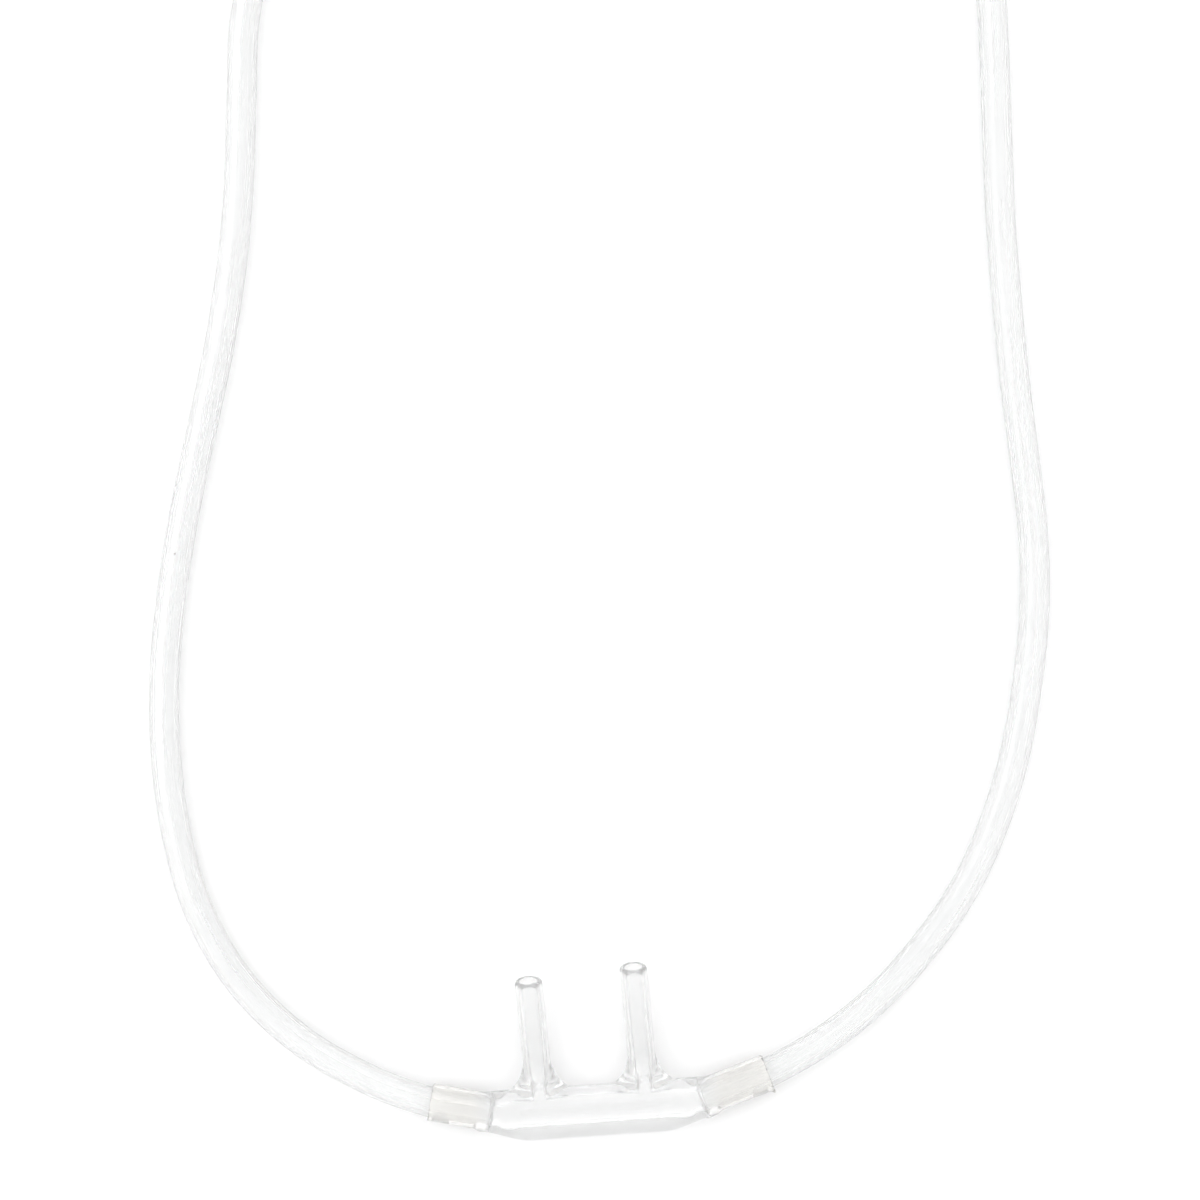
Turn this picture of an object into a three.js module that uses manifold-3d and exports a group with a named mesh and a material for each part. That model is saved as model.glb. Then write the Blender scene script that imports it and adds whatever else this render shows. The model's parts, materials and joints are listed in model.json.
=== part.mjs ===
// A nasal oxygen cannula, laid flat as it is kept: a soft clear PVC nose piece with two prongs,
// two over-ear tubes that run through a slider to a Y connector, and the supply tube, wound
// into a tied coil with its funnel connector lying on top.
// Millimetres, +Z up. The origin is on the flat underside of the nose piece, on the floor, at
// the middle of its body. +X runs along the nose piece and +Y is the way the prongs point.
import * as THREE from "three";
import { mergeVertices } from "three/addons/utils/BufferGeometryUtils.js";
import Module from "manifold-3d";

const wasm = await Module();
wasm.setup();

// Clearances
const GAP = 0.3; // between pieces that lie against each other
const TUBE_FIT = 0.15; // round a tube in its socket, on the radius
const OVERCUT = 1; // how far a cutting shape reaches past the surface that it opens
const FLOOR_GAP = 0.1; // under a tube that lies on the floor

// Tubes
const EAR_TUBE_D = 4;
const EAR_LUMEN_D = 2.7;
const SUPPLY_TUBE_D = 5.5;
const SUPPLY_LUMEN_D = 3.8;

// Nose piece: its body, a belly that hangs below the line of the two sleeves
const BODY_LENGTH = 32.4;
const BODY_TOP = 3.4;
const BODY_BELLY = 3.45;
const BODY_END_DROP = 1.75; // how far the belly still hangs at the body's two ends
const BODY_DEPTH = 6; // between its flat underside and its flat face
const BODY_CROWN = 0.25; // what the flats take off the rounded section, on each side
const BODY_END_DEPTH = 4.7;
const BODY_FLAT_SHARE = 0.55; // the share of the length over which the belly is straight
const BODY_SQUARENESS = 2.6; // the power of its section: 2 is an ellipse

// Nose piece: the chamber inside the body, which feeds both prongs
const CHAMBER_LENGTH = 25.8;
const CHAMBER_TOP = 2.1;
const CHAMBER_BOTTOM = 1.55;
const CHAMBER_DEPTH = 3.2;
const CHAMBER_END_SHARE = 0.6; // of its height and depth, left at its two ends
const CHAMBER_SQUARENESS = 3;
const CHAMBER_BLUNTNESS = 6; // how late its two ends start to round off

// Nose piece: prongs
const PRONG_PITCH = 14;
const PRONG_SHIFT = -0.4; // of both, from the body's middle, along X
const PRONG_LENGTH = 18.85; // along its curve, from the body's centre line to the tip
const PRONG_TIP_D = 3.7;
const PRONG_ROOT_D = 3.75;
const PRONG_BORE_D = 2;
const PRONG_LEAN = THREE.MathUtils.degToRad(1.5); // both lean a little to -X
const PRONG_CURL = THREE.MathUtils.degToRad(16); // how far the tip has curled up
const PRONG_TIP_ROUND = 0.5;
const FLARE_REACH = 3.6; // sideways, past the prong's own wall
const FLARE_SWELL = 0.85; // the same towards the face and the back
const FLARE_HEIGHT = 4.3;

// Nose piece: sleeves that the over-ear tubes are bonded into
const SLEEVE_D = 5;
const SLEEVE_ROOT_X = 15;
const SLEEVE_ROOT_Y = 0.85;
const SLEEVE_LENGTH = 7.9; // from its root point to its mouth
const SLEEVE_RISE = THREE.MathUtils.degToRad(15.5);
const SLEEVE_INSIDE = 3; // how far it runs back into the body
const SOCKET_PAST_ROOT = 1.1; // how far the socket in it runs back past that root point

// Nose piece: how its soft halves differ, more on the right and less on the left
const PRONG_LENGTH_UNEVEN = 0.45;
const SLEEVE_LENGTH_UNEVEN = 0.6;
const SLEEVE_RISE_UNEVEN = THREE.MathUtils.degToRad(1.85);

// The two over-ear tubes side by side, from the slider on
const PAIR_PITCH = 4.4;
const NECK_X = 40;
const NECK_START_Y = 208;
const NECK_END_Y = 268;
const NECK_POINTS = 7;
const WRAP_SWEEP = THREE.MathUtils.degToRad(200); // how far the pair goes round the coil

// Slider
const SLIDER_LENGTH = 12;
const SLIDER_WALL = 0.9;
const SLIDER_CHAMFER = 0.5;
const SLIDER_FROM_NECK = 10; // from the start of the straight pair to the slider's near end

// Y connector
const Y_LENGTH = 24;
const Y_WALL = 1.1;
const Y_SOCKET_DEPTH = 8;
const Y_TAPER_START = 0.35; // of its length
const Y_TAPER_SHARE = 0.35; // of its length, over which the flat mouth turns round
const Y_SQUARENESS = 2.8;
const Y_PASSAGE_CLOSE = 1 / 3; // how far apart the two passages still are where they meet
const Y_LEAD_IN = 12; // straight run of the pair between the coil and its mouth
const Y_LEAD_OUT = 11; // straight run of the supply tube out of its socket's floor

// Coil of supply tube: layers of 3, 4 and 3 turns
const COIL_MEAN_R = 30.5;
const COIL_SPREAD = 3; // from the mean to the centre of the outermost turn, in half diameters
const COIL_LAYERS = 3;
const LAYER_RISE = Math.sqrt(3) / 2; // from one layer to the next, in tube diameters
const COIL_SKIN = 0.1; // what the plain solid stands outside the turns
const SUPPLY_TURN_R = 25; // of the bend between the Y connector and the coil
const LEAD_DROP_POINTS = 2; // of that bend, over which the tube comes down to the floor

// Ties round the coil and the pair
const TIE_THICKNESS = 0.6;
const TIE_WIDTH = 3;
const TIE_ANGLES = [12, 184].map(THREE.MathUtils.degToRad); // round the coil, from +X

// Funnel connector at the supply tube's end
const FUNNEL_LENGTH = 38;
const FUNNEL_NECK_D = 8.4;
const FUNNEL_NECK_LENGTH = 13;
const FUNNEL_SHOULDER = 4; // length of the flare between neck and grip
const FUNNEL_GRIP_D = 11.6;
const FUNNEL_MOUTH_D = 12.4;
const FUNNEL_SOCKET_DEPTH = 12;
const FUNNEL_MOUTH_BORE_D = 7.6;
const FUNNEL_THROAT_BORE_D = 6;
const FUNNEL_BORE_DEPTH = 19;
const FUNNEL_RIBS = 10;
const FUNNEL_RIB_HEIGHT = 0.5;
const FUNNEL_RIB_WIDTH = 1.1;
const FUNNEL_RIB_LENGTH = 15;
const FUNNEL_RIB_START = 2; // past the shoulder
const TAIL_R = 25; // of the supply tube's last turn, on top of the coil
const TAIL_SWEEP = THREE.MathUtils.degToRad(300); // of that turn, up to where it straightens
const TAIL_TURN_SHARE = 0.7; // of the sweep, after which it runs out to the funnel
const FUNNEL_OUT = 34.3; // from the coil's axis to the funnel's
const FUNNEL_START = 3; // its small end, past the point where the tube has straightened

// Facets
const BODY_SIDES = 28;
const ROUND_SIDES = 20;
const BORE_SIDES = 14;
const BODY_STEPS = 16;
const CHAMBER_STEPS = 10;
const BORE_STEPS = 8;
const Y_STEPS = 12;
const FLARE_STEPS = 6;
const SHAFT_STEPS = 4;
const TIP_STEPS = 3;
const COIL_SIDES = 40;
const CORD_SIDES = 8;
const CORD_STEP_DIAMETERS = 2.5;
const WRAP_STEP = THREE.MathUtils.degToRad(13); // between the points of a route round the coil
const BEND_STEP = THREE.MathUtils.degToRad(25); // between the points of a tighter bend

// What follows from the sizes
const earR = EAR_TUBE_D / 2;
const supplyR = SUPPLY_TUBE_D / 2;
const bodyMidZ = BODY_DEPTH / 2;
const chamberMidY = (CHAMBER_TOP - CHAMBER_BOTTOM) / 2;
const halfPair = PAIR_PITCH / 2;
const lift = TIE_THICKNESS + GAP; // the coil and what is tied to it lie on the ties
const coilBundleR = (COIL_SPREAD / 2) * SUPPLY_TUBE_D + supplyR + COIL_SKIN;
const coilOuterR = COIL_MEAN_R + coilBundleR;
const coilInnerR = COIL_MEAN_R - coilBundleR;
const coilHeight = SUPPLY_TUBE_D * (1 + (COIL_LAYERS - 1) * LAYER_RISE) + 2 * COIL_SKIN;
const wrapR = coilOuterR + GAP + TUBE_FIT + earR + halfPair;
const coilX = NECK_X - wrapR;
const coilY = NECK_END_Y;
const sliderHeight = EAR_TUBE_D + 2 * SLIDER_WALL;
const sliderZ = sliderHeight / 2;
const yOutletR = supplyR + TUBE_FIT + Y_WALL;
const yZ = yOutletR;
const tiedEarZ = lift + earR;
const CLIPPED_ROUND = 2 - Math.SQRT2; // a flat over a round corner, in its radii
const LEFT = -1;
const RIGHT = 1;

// Solids

function toSolid(geometry) {
  const bare = new THREE.BufferGeometry();
  const flat = geometry.index ? geometry.toNonIndexed() : geometry;
  bare.setAttribute("position", flat.getAttribute("position"));
  const merged = mergeVertices(bare, 1e-4);
  return new wasm.Manifold(
    new wasm.Mesh({
      numProp: 3,
      vertProperties: merged.attributes.position.array,
      triVerts: new Uint32Array(merged.index.array),
    }),
  );
}

function toGeometry(solid) {
  const mesh = solid.getMesh();
  const geometry = new THREE.BufferGeometry();
  geometry.setAttribute("position", new THREE.BufferAttribute(mesh.vertProperties, 3));
  geometry.setIndex(new THREE.BufferAttribute(mesh.triVerts, 1));
  const facets = geometry.toNonIndexed();
  facets.computeVertexNormals();
  return facets;
}

function joined(...solids) {
  return solids.reduce((a, b) => a.add(b));
}

function cut(solid, ...cutters) {
  return cutters.reduce((a, b) => a.subtract(b), solid);
}

// A closed skin over rings. place(t, u, v) maps t, from 0 to 1 along its length, and a point
// (u, v) of the unit disc to a point in space.
function skin(sides, steps, place) {
  const geometry = new THREE.CylinderGeometry(1, 1, 1, sides, steps);
  const points = geometry.getAttribute("position");
  for (let i = 0; i < points.count; i++) {
    const at = place(points.getY(i) + 0.5, points.getX(i), points.getZ(i));
    points.setXYZ(i, at.x, at.y, at.z);
  }
  return toSolid(geometry);
}

// A round bar from one point to another, with a radius at each end
function bar(from, to, radiusFrom, radiusTo = radiusFrom) {
  const along = to.clone().sub(from);
  const geometry = new THREE.CylinderGeometry(radiusTo, radiusFrom, along.length(), ROUND_SIDES);
  const turn = new THREE.Quaternion().setFromUnitVectors(
    new THREE.Vector3(0, 1, 0),
    along.clone().normalize(),
  );
  geometry.applyQuaternion(turn);
  const middle = from.clone().addScaledVector(along, 0.5);
  geometry.translate(middle.x, middle.y, middle.z);
  return toSolid(geometry);
}

// A box from its lowest to its highest corner
function block(low, high) {
  const size = high.clone().sub(low);
  const middle = low.clone().add(high).multiplyScalar(0.5);
  const geometry = new THREE.BoxGeometry(size.x, size.y, size.z);
  geometry.translate(middle.x, middle.y, middle.z);
  return toSolid(geometry);
}

// How far out a point of the unit disc's rim lies on a superellipse
function squared(u, v, power) {
  const length = (Math.abs(u) ** power + Math.abs(v) ** power) ** (1 / power);
  return length > 0 ? 1 / length : 0;
}

function easeBetween(a, b, share) {
  return THREE.MathUtils.lerp(a, b, THREE.MathUtils.smoothstep(share, 0, 1));
}

// Nose piece

function noseBody() {
  const halfLength = BODY_LENGTH / 2;
  const shell = skin(BODY_SIDES, BODY_STEPS, (t, u, v) => {
    const along = 2 * t - 1;
    const ends = (Math.abs(along) - BODY_FLAT_SHARE) / (1 - BODY_FLAT_SHARE);
    const belly = easeBetween(BODY_BELLY, BODY_END_DROP, ends);
    const middle = (BODY_TOP - belly) / 2;
    const halfHeight = (BODY_TOP + belly) / 2;
    const halfDepth = easeBetween(bodyMidZ + BODY_CROWN, BODY_END_DEPTH / 2, ends);
    const out = squared(u, v, BODY_SQUARENESS);
    return new THREE.Vector3(
      along * halfLength,
      middle + v * out * halfHeight,
      bodyMidZ + u * out * halfDepth,
    );
  });
  const slab = block(
    new THREE.Vector3(-halfLength - OVERCUT, -BODY_BELLY - OVERCUT, 0),
    new THREE.Vector3(halfLength + OVERCUT, BODY_TOP + OVERCUT, BODY_DEPTH),
  );
  return shell.intersect(slab);
}

function noseChamber() {
  const halfHeight = (CHAMBER_TOP + CHAMBER_BOTTOM) / 2;
  return skin(BORE_SIDES, CHAMBER_STEPS, (t, u, v) => {
    const along = Math.sin((t - 0.5) * Math.PI);
    const round = (1 - along ** CHAMBER_BLUNTNESS) ** (1 / CHAMBER_SQUARENESS);
    const share = CHAMBER_END_SHARE + (1 - CHAMBER_END_SHARE) * round;
    const out = squared(u, v, CHAMBER_SQUARENESS) * share;
    return new THREE.Vector3(
      (along * CHAMBER_LENGTH) / 2,
      chamberMidY + v * out * halfHeight,
      bodyMidZ + (u * out * CHAMBER_DEPTH) / 2,
    );
  });
}

function prongLength(side) {
  return PRONG_LENGTH + side * PRONG_LENGTH_UNEVEN;
}

function sleeveLength(side) {
  return SLEEVE_LENGTH + side * SLEEVE_LENGTH_UNEVEN;
}

// The prong's centre line is an arc that starts at the body's centre line and curls up
function prongAt(side, s) {
  const arcR = prongLength(side) / PRONG_CURL;
  const turned = s / arcR;
  const y = arcR * Math.sin(turned);
  const centre = new THREE.Vector3(
    PRONG_SHIFT + (side * PRONG_PITCH) / 2 - y * Math.tan(PRONG_LEAN),
    y,
    bodyMidZ + arcR * (1 - Math.cos(turned)),
  );
  return { turned, centre };
}

// A point (across, deep) on the prong's section at s along its curve
function onProng(side, s, across, deep) {
  const { turned, centre } = prongAt(side, s);
  return new THREE.Vector3(
    centre.x + across,
    centre.y - deep * Math.sin(turned),
    centre.z + deep * Math.cos(turned),
  );
}

// The prong's rings: one at its root, a quarter-round flare out of the body's top edge, and
// a quarter-round tip. spread is how much of the flare is left, and trim is what the tip's
// rounding takes off the radius.
function prongRings(side) {
  const rings = [{ s: 0, spread: 1, trim: 0 }];
  for (let i = 0; i <= FLARE_STEPS; i++) {
    const angle = (Math.PI / 2) * (i / FLARE_STEPS);
    const s = BODY_TOP - GAP + FLARE_HEIGHT * (1 - Math.cos(angle));
    rings.push({ s, spread: 1 - Math.sin(angle), trim: 0 });
  }
  const shaftStart = rings[rings.length - 1].s;
  const tipStart = prongLength(side) - PRONG_TIP_ROUND;
  for (let i = 1; i < SHAFT_STEPS; i++) {
    const s = THREE.MathUtils.lerp(shaftStart, tipStart, i / SHAFT_STEPS);
    rings.push({ s, spread: 0, trim: 0 });
  }
  for (let i = 0; i <= TIP_STEPS; i++) {
    const angle = (Math.PI / 2) * (i / TIP_STEPS);
    const s = tipStart + PRONG_TIP_ROUND * Math.sin(angle);
    rings.push({ s, spread: 0, trim: PRONG_TIP_ROUND * (1 - Math.cos(angle)) });
  }
  return rings;
}

function prong(side) {
  const rings = prongRings(side);
  return skin(ROUND_SIDES, rings.length - 1, (t, u, v) => {
    const { s, spread, trim } = rings[Math.round(t * (rings.length - 1))];
    const taper = s / prongLength(side);
    const radius = THREE.MathUtils.lerp(PRONG_ROOT_D, PRONG_TIP_D, taper) / 2 - trim;
    const across = u * (radius + FLARE_REACH * spread);
    const deep = v * (radius + FLARE_SWELL * spread);
    return onProng(side, s, across, deep);
  });
}

function prongBore(side) {
  const length = prongLength(side) + OVERCUT;
  const radius = PRONG_BORE_D / 2;
  return skin(BORE_SIDES, BORE_STEPS, (t, u, v) => onProng(side, t * length, u * radius, v * radius));
}

// A point on a sleeve's axis, s past its root
function sleeveAt(side, s) {
  const rise = SLEEVE_RISE + side * SLEEVE_RISE_UNEVEN;
  return new THREE.Vector3(
    side * (SLEEVE_ROOT_X + s * Math.cos(rise)),
    SLEEVE_ROOT_Y + s * Math.sin(rise),
    bodyMidZ,
  );
}

function nosePiece() {
  const chamberEnd = CHAMBER_LENGTH / 2 - OVERCUT;
  const outside = [noseBody()];
  const inside = [noseChamber()];
  for (const side of [LEFT, RIGHT]) {
    const mouth = sleeveAt(side, sleeveLength(side));
    const pastMouth = sleeveAt(side, sleeveLength(side) + OVERCUT);
    const chamberSide = new THREE.Vector3(side * chamberEnd, chamberMidY, bodyMidZ);
    outside.push(prong(side), bar(sleeveAt(side, -SLEEVE_INSIDE), mouth, SLEEVE_D / 2));
    inside.push(
      prongBore(side),
      bar(sleeveAt(side, -SOCKET_PAST_ROOT), pastMouth, earR + TUBE_FIT),
      bar(chamberSide, sleeveAt(side, GAP - SOCKET_PAST_ROOT), EAR_LUMEN_D / 2),
    );
  }
  return cut(joined(...outside), ...inside);
}

// Tubes

// A plain tube along the smooth curve through the points
function laidTube(points, diameter) {
  const path = new THREE.CatmullRomCurve3(points, false, "catmullrom", 0.5);
  const section = new THREE.Shape(
    new THREE.EllipseCurve(0, 0, diameter / 2, diameter / 2).getPoints(CORD_SIDES).slice(1),
  );
  const steps = Math.ceil(path.getLength() / (CORD_STEP_DIAMETERS * diameter));
  return new THREE.ExtrudeGeometry(section, { extrudePath: path, steps });
}

// The stretch of each over-ear tube that lies free, from its sleeve to the slider, in X and Y
const LEFT_ROUTE = [
  [-29.8, 5.9], [-38.7, 11.8], [-46.2, 20], [-51, 29.5], [-53.3, 39.5], [-54.1, 50],
  [-53.6, 61], [-51.9, 72], [-49.4, 83], [-46.3, 94], [-43.2, 105], [-40.7, 116],
  [-39, 127], [-37.9, 138], [-36.7, 148.5], [-33.6, 158.3], [-27.6, 166.4], [-18.8, 172.4],
  [-8.5, 176.6], [2.2, 180.3], [12.6, 184.3], [21.7, 189.1], [29.2, 194.7], [34.8, 201],
];
const RIGHT_ROUTE = [
  [30.6, 6.9], [38.3, 12.1], [45.4, 18.9], [51.2, 26.3], [55.7, 34.7], [59, 43.5],
  [61.3, 52.8], [62.9, 62.5], [63.4, 72], [63, 82], [62.4, 92.5], [62.1, 103],
  [62, 114], [62.3, 125], [62.7, 136], [62.8, 146.5], [62, 157], [59.4, 166.8],
  [55.4, 176], [50.9, 184.6], [46.8, 193], [43.9, 200.6],
];
const RISE_POINTS = 2; // at each end of the free stretch, where the tube comes up off the floor

// The floor, and a gentle climb to the height that a fitting holds the tube at
function routeHeight(index, count) {
  const onFloor = earR + FLOOR_GAP;
  const fromSleeve = THREE.MathUtils.clamp(1 - index / RISE_POINTS, 0, 1);
  const toSlider = THREE.MathUtils.clamp(1 - (count - 1 - index) / RISE_POINTS, 0, 1);
  return onFloor + ((bodyMidZ - onFloor) * fromSleeve + (sliderZ - onFloor) * toSlider) / 2;
}

function onCoil(radius, angle, z) {
  return new THREE.Vector3(
    coilX + radius * Math.cos(angle),
    coilY + radius * Math.sin(angle),
    z,
  );
}

// The way that the pair of tubes leaves the coil, and where the Y connector takes it in
const outward = new THREE.Vector3(Math.cos(WRAP_SWEEP), Math.sin(WRAP_SWEEP), 0);
const leaving = new THREE.Vector3(-outward.y, outward.x, 0);
const yMouth = onCoil(wrapR, WRAP_SWEEP, yZ).addScaledVector(leaving, Y_LEAD_IN);

// All the points of the over-ear tube that leaves one side of the nose piece
function earTubePoints(side, route) {
  const inside = GAP - SOCKET_PAST_ROOT;
  const mouth = sleeveLength(side);
  const points = [inside, (inside + mouth) / 2, mouth].map((s) => sleeveAt(side, s));
  route.forEach(([x, y], i) =>
    points.push(new THREE.Vector3(x, y, routeHeight(i, route.length))),
  );
  for (let i = 0; i < NECK_POINTS; i++) {
    const y = THREE.MathUtils.lerp(NECK_START_Y, NECK_END_Y, i / NECK_POINTS);
    points.push(new THREE.Vector3(NECK_X + side * halfPair, y, sliderZ));
  }
  const wraps = Math.round(WRAP_SWEEP / WRAP_STEP);
  for (let i = 0; i <= wraps; i++) {
    points.push(onCoil(wrapR + side * halfPair, (WRAP_SWEEP * i) / wraps, tiedEarZ));
  }
  for (const s of [0, (Y_SOCKET_DEPTH - GAP) / 2, Y_SOCKET_DEPTH - GAP]) {
    points.push(
      yMouth
        .clone()
        .addScaledVector(outward, side * halfPair)
        .addScaledVector(leaving, s),
    );
  }
  return points;
}

// Where the supply tube goes from the Y connector: a bend, then a straight line that touches
// its first turn in the coil
function supplyLeadPoints() {
  const start = Y_LENGTH - Y_SOCKET_DEPTH + GAP;
  const points = [0, Y_LEAD_OUT / 2, Y_LEAD_OUT].map((s) =>
    yMouth.clone().addScaledVector(leaving, start + s),
  );
  const bendStart = points[points.length - 1];
  const bendCentre = bendStart.clone().addScaledVector(outward, -SUPPLY_TURN_R);
  const fromCoil = bendCentre.clone().sub(new THREE.Vector3(coilX, coilY, yZ));
  const firstTurnR = COIL_MEAN_R + SUPPLY_TUBE_D;
  const bearing = Math.atan2(fromCoil.y, fromCoil.x);
  const touch = bearing + Math.acos((firstTurnR - SUPPLY_TURN_R) / fromCoil.length());
  const sweep = THREE.MathUtils.euclideanModulo(touch - WRAP_SWEEP, 2 * Math.PI);
  const bends = Math.ceil(sweep / BEND_STEP);
  for (let i = 1; i <= bends; i++) {
    const angle = WRAP_SWEEP + (sweep * i) / bends;
    const z = easeBetween(yZ, supplyR + FLOOR_GAP, i / LEAD_DROP_POINTS);
    points.push(
      new THREE.Vector3(
        bendCentre.x + SUPPLY_TURN_R * Math.cos(angle),
        bendCentre.y + SUPPLY_TURN_R * Math.sin(angle),
        z,
      ),
    );
  }
  const straight = Math.sqrt(fromCoil.lengthSq() - (firstTurnR - SUPPLY_TURN_R) ** 2);
  const stopR = coilOuterR + GAP + supplyR;
  const inCoil = Math.sqrt(stopR ** 2 - firstTurnR ** 2);
  const heading = new THREE.Vector3(-Math.sin(touch), Math.cos(touch), 0);
  const entry = points[points.length - 1].clone().addScaledVector(heading, straight - inCoil);
  points.push(entry.setZ(lift + COIL_SKIN + supplyR));
  return points;
}

// The supply tube's last turn lies on the ties that hold the coil, and runs out and straight
// into the funnel, which lies along -X on top of the coil
const tailZ = lift + coilHeight + GAP + TIE_THICKNESS + GAP + supplyR;
const funnelR = Math.max(FUNNEL_MOUTH_D / 2, FUNNEL_GRIP_D / 2 + FUNNEL_RIB_HEIGHT);
const funnelZ = lift + coilHeight + GAP + funnelR;
const funnelX = coilX - FUNNEL_START;
const funnelY = coilY + FUNNEL_OUT;

function supplyTailPoints() {
  const points = [];
  const arcs = Math.round(TAIL_SWEEP / BEND_STEP);
  for (let i = 0; i <= arcs; i++) {
    const share = i / arcs;
    const angle = Math.PI / 2 - TAIL_SWEEP * (1 - share);
    const runOut = (share - TAIL_TURN_SHARE) / (1 - TAIL_TURN_SHARE);
    const radius = easeBetween(TAIL_R, FUNNEL_OUT, runOut);
    points.push(onCoil(radius, angle, easeBetween(tailZ, funnelZ, runOut)));
  }
  const inSocket = FUNNEL_SOCKET_DEPTH - GAP;
  for (const s of [0, inSocket / 2, inSocket]) {
    points.push(new THREE.Vector3(funnelX - s, funnelY, funnelZ));
  }
  return points;
}

// Fittings

function slider() {
  const halfHeight = sliderHeight / 2 - SLIDER_CHAMFER;
  const outline = new THREE.Shape();
  outline.absarc(halfPair, 0, halfHeight, -Math.PI / 2, Math.PI / 2, false);
  outline.absarc(-halfPair, 0, halfHeight, Math.PI / 2, (3 * Math.PI) / 2, false);
  const geometry = new THREE.ExtrudeGeometry(outline, {
    depth: SLIDER_LENGTH - 2 * SLIDER_CHAMFER,
    bevelThickness: SLIDER_CHAMFER,
    bevelSize: SLIDER_CHAMFER,
    bevelSegments: 2,
    curveSegments: 12,
  });
  geometry.translate(0, 0, SLIDER_CHAMFER);
  geometry.rotateX(-Math.PI / 2);
  const bores = [LEFT, RIGHT].map((side) =>
    bar(
      new THREE.Vector3(side * halfPair, -OVERCUT, 0),
      new THREE.Vector3(side * halfPair, SLIDER_LENGTH + OVERCUT, 0),
      earR + TUBE_FIT,
    ),
  );
  return cut(toSolid(geometry), ...bores);
}

// Along +Y from the mouth that takes the pair to the outlet that takes the supply tube
function yConnector() {
  const inletHalfHeight = earR + TUBE_FIT + Y_WALL;
  const inletHalfWidth = inletHalfHeight + halfPair;
  const body = skin(BODY_SIDES, Y_STEPS, (t, u, v) => {
    const share = (t - Y_TAPER_START) / Y_TAPER_SHARE;
    const halfWidth = easeBetween(inletHalfWidth, yOutletR, share);
    const halfHeight = easeBetween(inletHalfHeight, yOutletR, share);
    const out = squared(u, v, easeBetween(Y_SQUARENESS, 2, share));
    return new THREE.Vector3(u * out * halfWidth, t * Y_LENGTH, v * out * halfHeight);
  });
  const on = (x, y) => new THREE.Vector3(x, y, 0);
  const outletFloor = Y_LENGTH - Y_SOCKET_DEPTH;
  const bores = [
    bar(on(0, outletFloor), on(0, Y_LENGTH + OVERCUT), supplyR + TUBE_FIT),
  ];
  for (const side of [LEFT, RIGHT]) {
    const x = side * halfPair;
    bores.push(
      bar(on(x, -OVERCUT), on(x, Y_SOCKET_DEPTH), earR + TUBE_FIT),
      bar(
        on(x, Y_SOCKET_DEPTH - GAP),
        on(x * Y_PASSAGE_CLOSE, outletFloor + GAP),
        EAR_LUMEN_D / 2,
      ),
    );
  }
  return cut(body, ...bores);
}

function coil() {
  const corner = supplyR;
  const profile = new THREE.Shape();
  const high = coilHeight - corner;
  profile.absarc(coilOuterR - corner, corner, corner, -Math.PI / 2, 0, false);
  profile.absarc(coilOuterR - corner, high, corner, 0, Math.PI / 2, false);
  profile.absarc(coilInnerR + corner, high, corner, Math.PI / 2, Math.PI, false);
  profile.absarc(coilInnerR + corner, corner, corner, Math.PI, 1.5 * Math.PI, false);
  const outline = profile.getPoints(2);
  outline.push(outline[0].clone());
  const geometry = new THREE.LatheGeometry(outline, COIL_SIDES);
  geometry.rotateX(Math.PI / 2);
  return toSolid(geometry);
}

// The outline whose sides lie a distance outside those of a convex, anticlockwise one
function grown(outline, distance) {
  const sides = outline.map((from, i) => {
    const to = outline[(i + 1) % outline.length];
    const along = to.clone().sub(from).normalize();
    const out = new THREE.Vector2(along.y, -along.x);
    return { from: from.clone().addScaledVector(out, distance), along };
  });
  return sides.map((side, i) => {
    const before = sides[(i + sides.length - 1) % sides.length];
    const between = side.from.clone().sub(before.from);
    const reach = between.cross(side.along) / before.along.cross(side.along);
    return before.from.clone().addScaledVector(before.along, reach);
  });
}

// A tie in the X-Z plane, with the coil's axis at X = 0: round the coil and the pair
function tie() {
  const coilClip = supplyR * CLIPPED_ROUND;
  const earClip = earR * CLIPPED_ROUND;
  const top = lift + coilHeight;
  const pairOut = wrapR + halfPair + earR;
  const held = [
    [coilInnerR + coilClip, lift],
    [pairOut - earClip, lift],
    [pairOut, lift + earClip],
    [pairOut, lift + EAR_TUBE_D - earClip],
    [coilOuterR, top - coilClip],
    [coilOuterR - coilClip, top],
    [coilInnerR + coilClip, top],
    [coilInnerR, top - coilClip],
    [coilInnerR, lift + coilClip],
  ].map(([x, z]) => new THREE.Vector2(x, z));
  const inner = grown(held, GAP);
  const outline = new THREE.Shape(grown(inner, TIE_THICKNESS));
  outline.holes.push(new THREE.Path(inner));
  const geometry = new THREE.ExtrudeGeometry(outline, {
    depth: TIE_WIDTH,
    bevelEnabled: false,
  });
  geometry.rotateX(Math.PI / 2);
  geometry.translate(0, TIE_WIDTH / 2, 0);
  return geometry;
}

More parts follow.
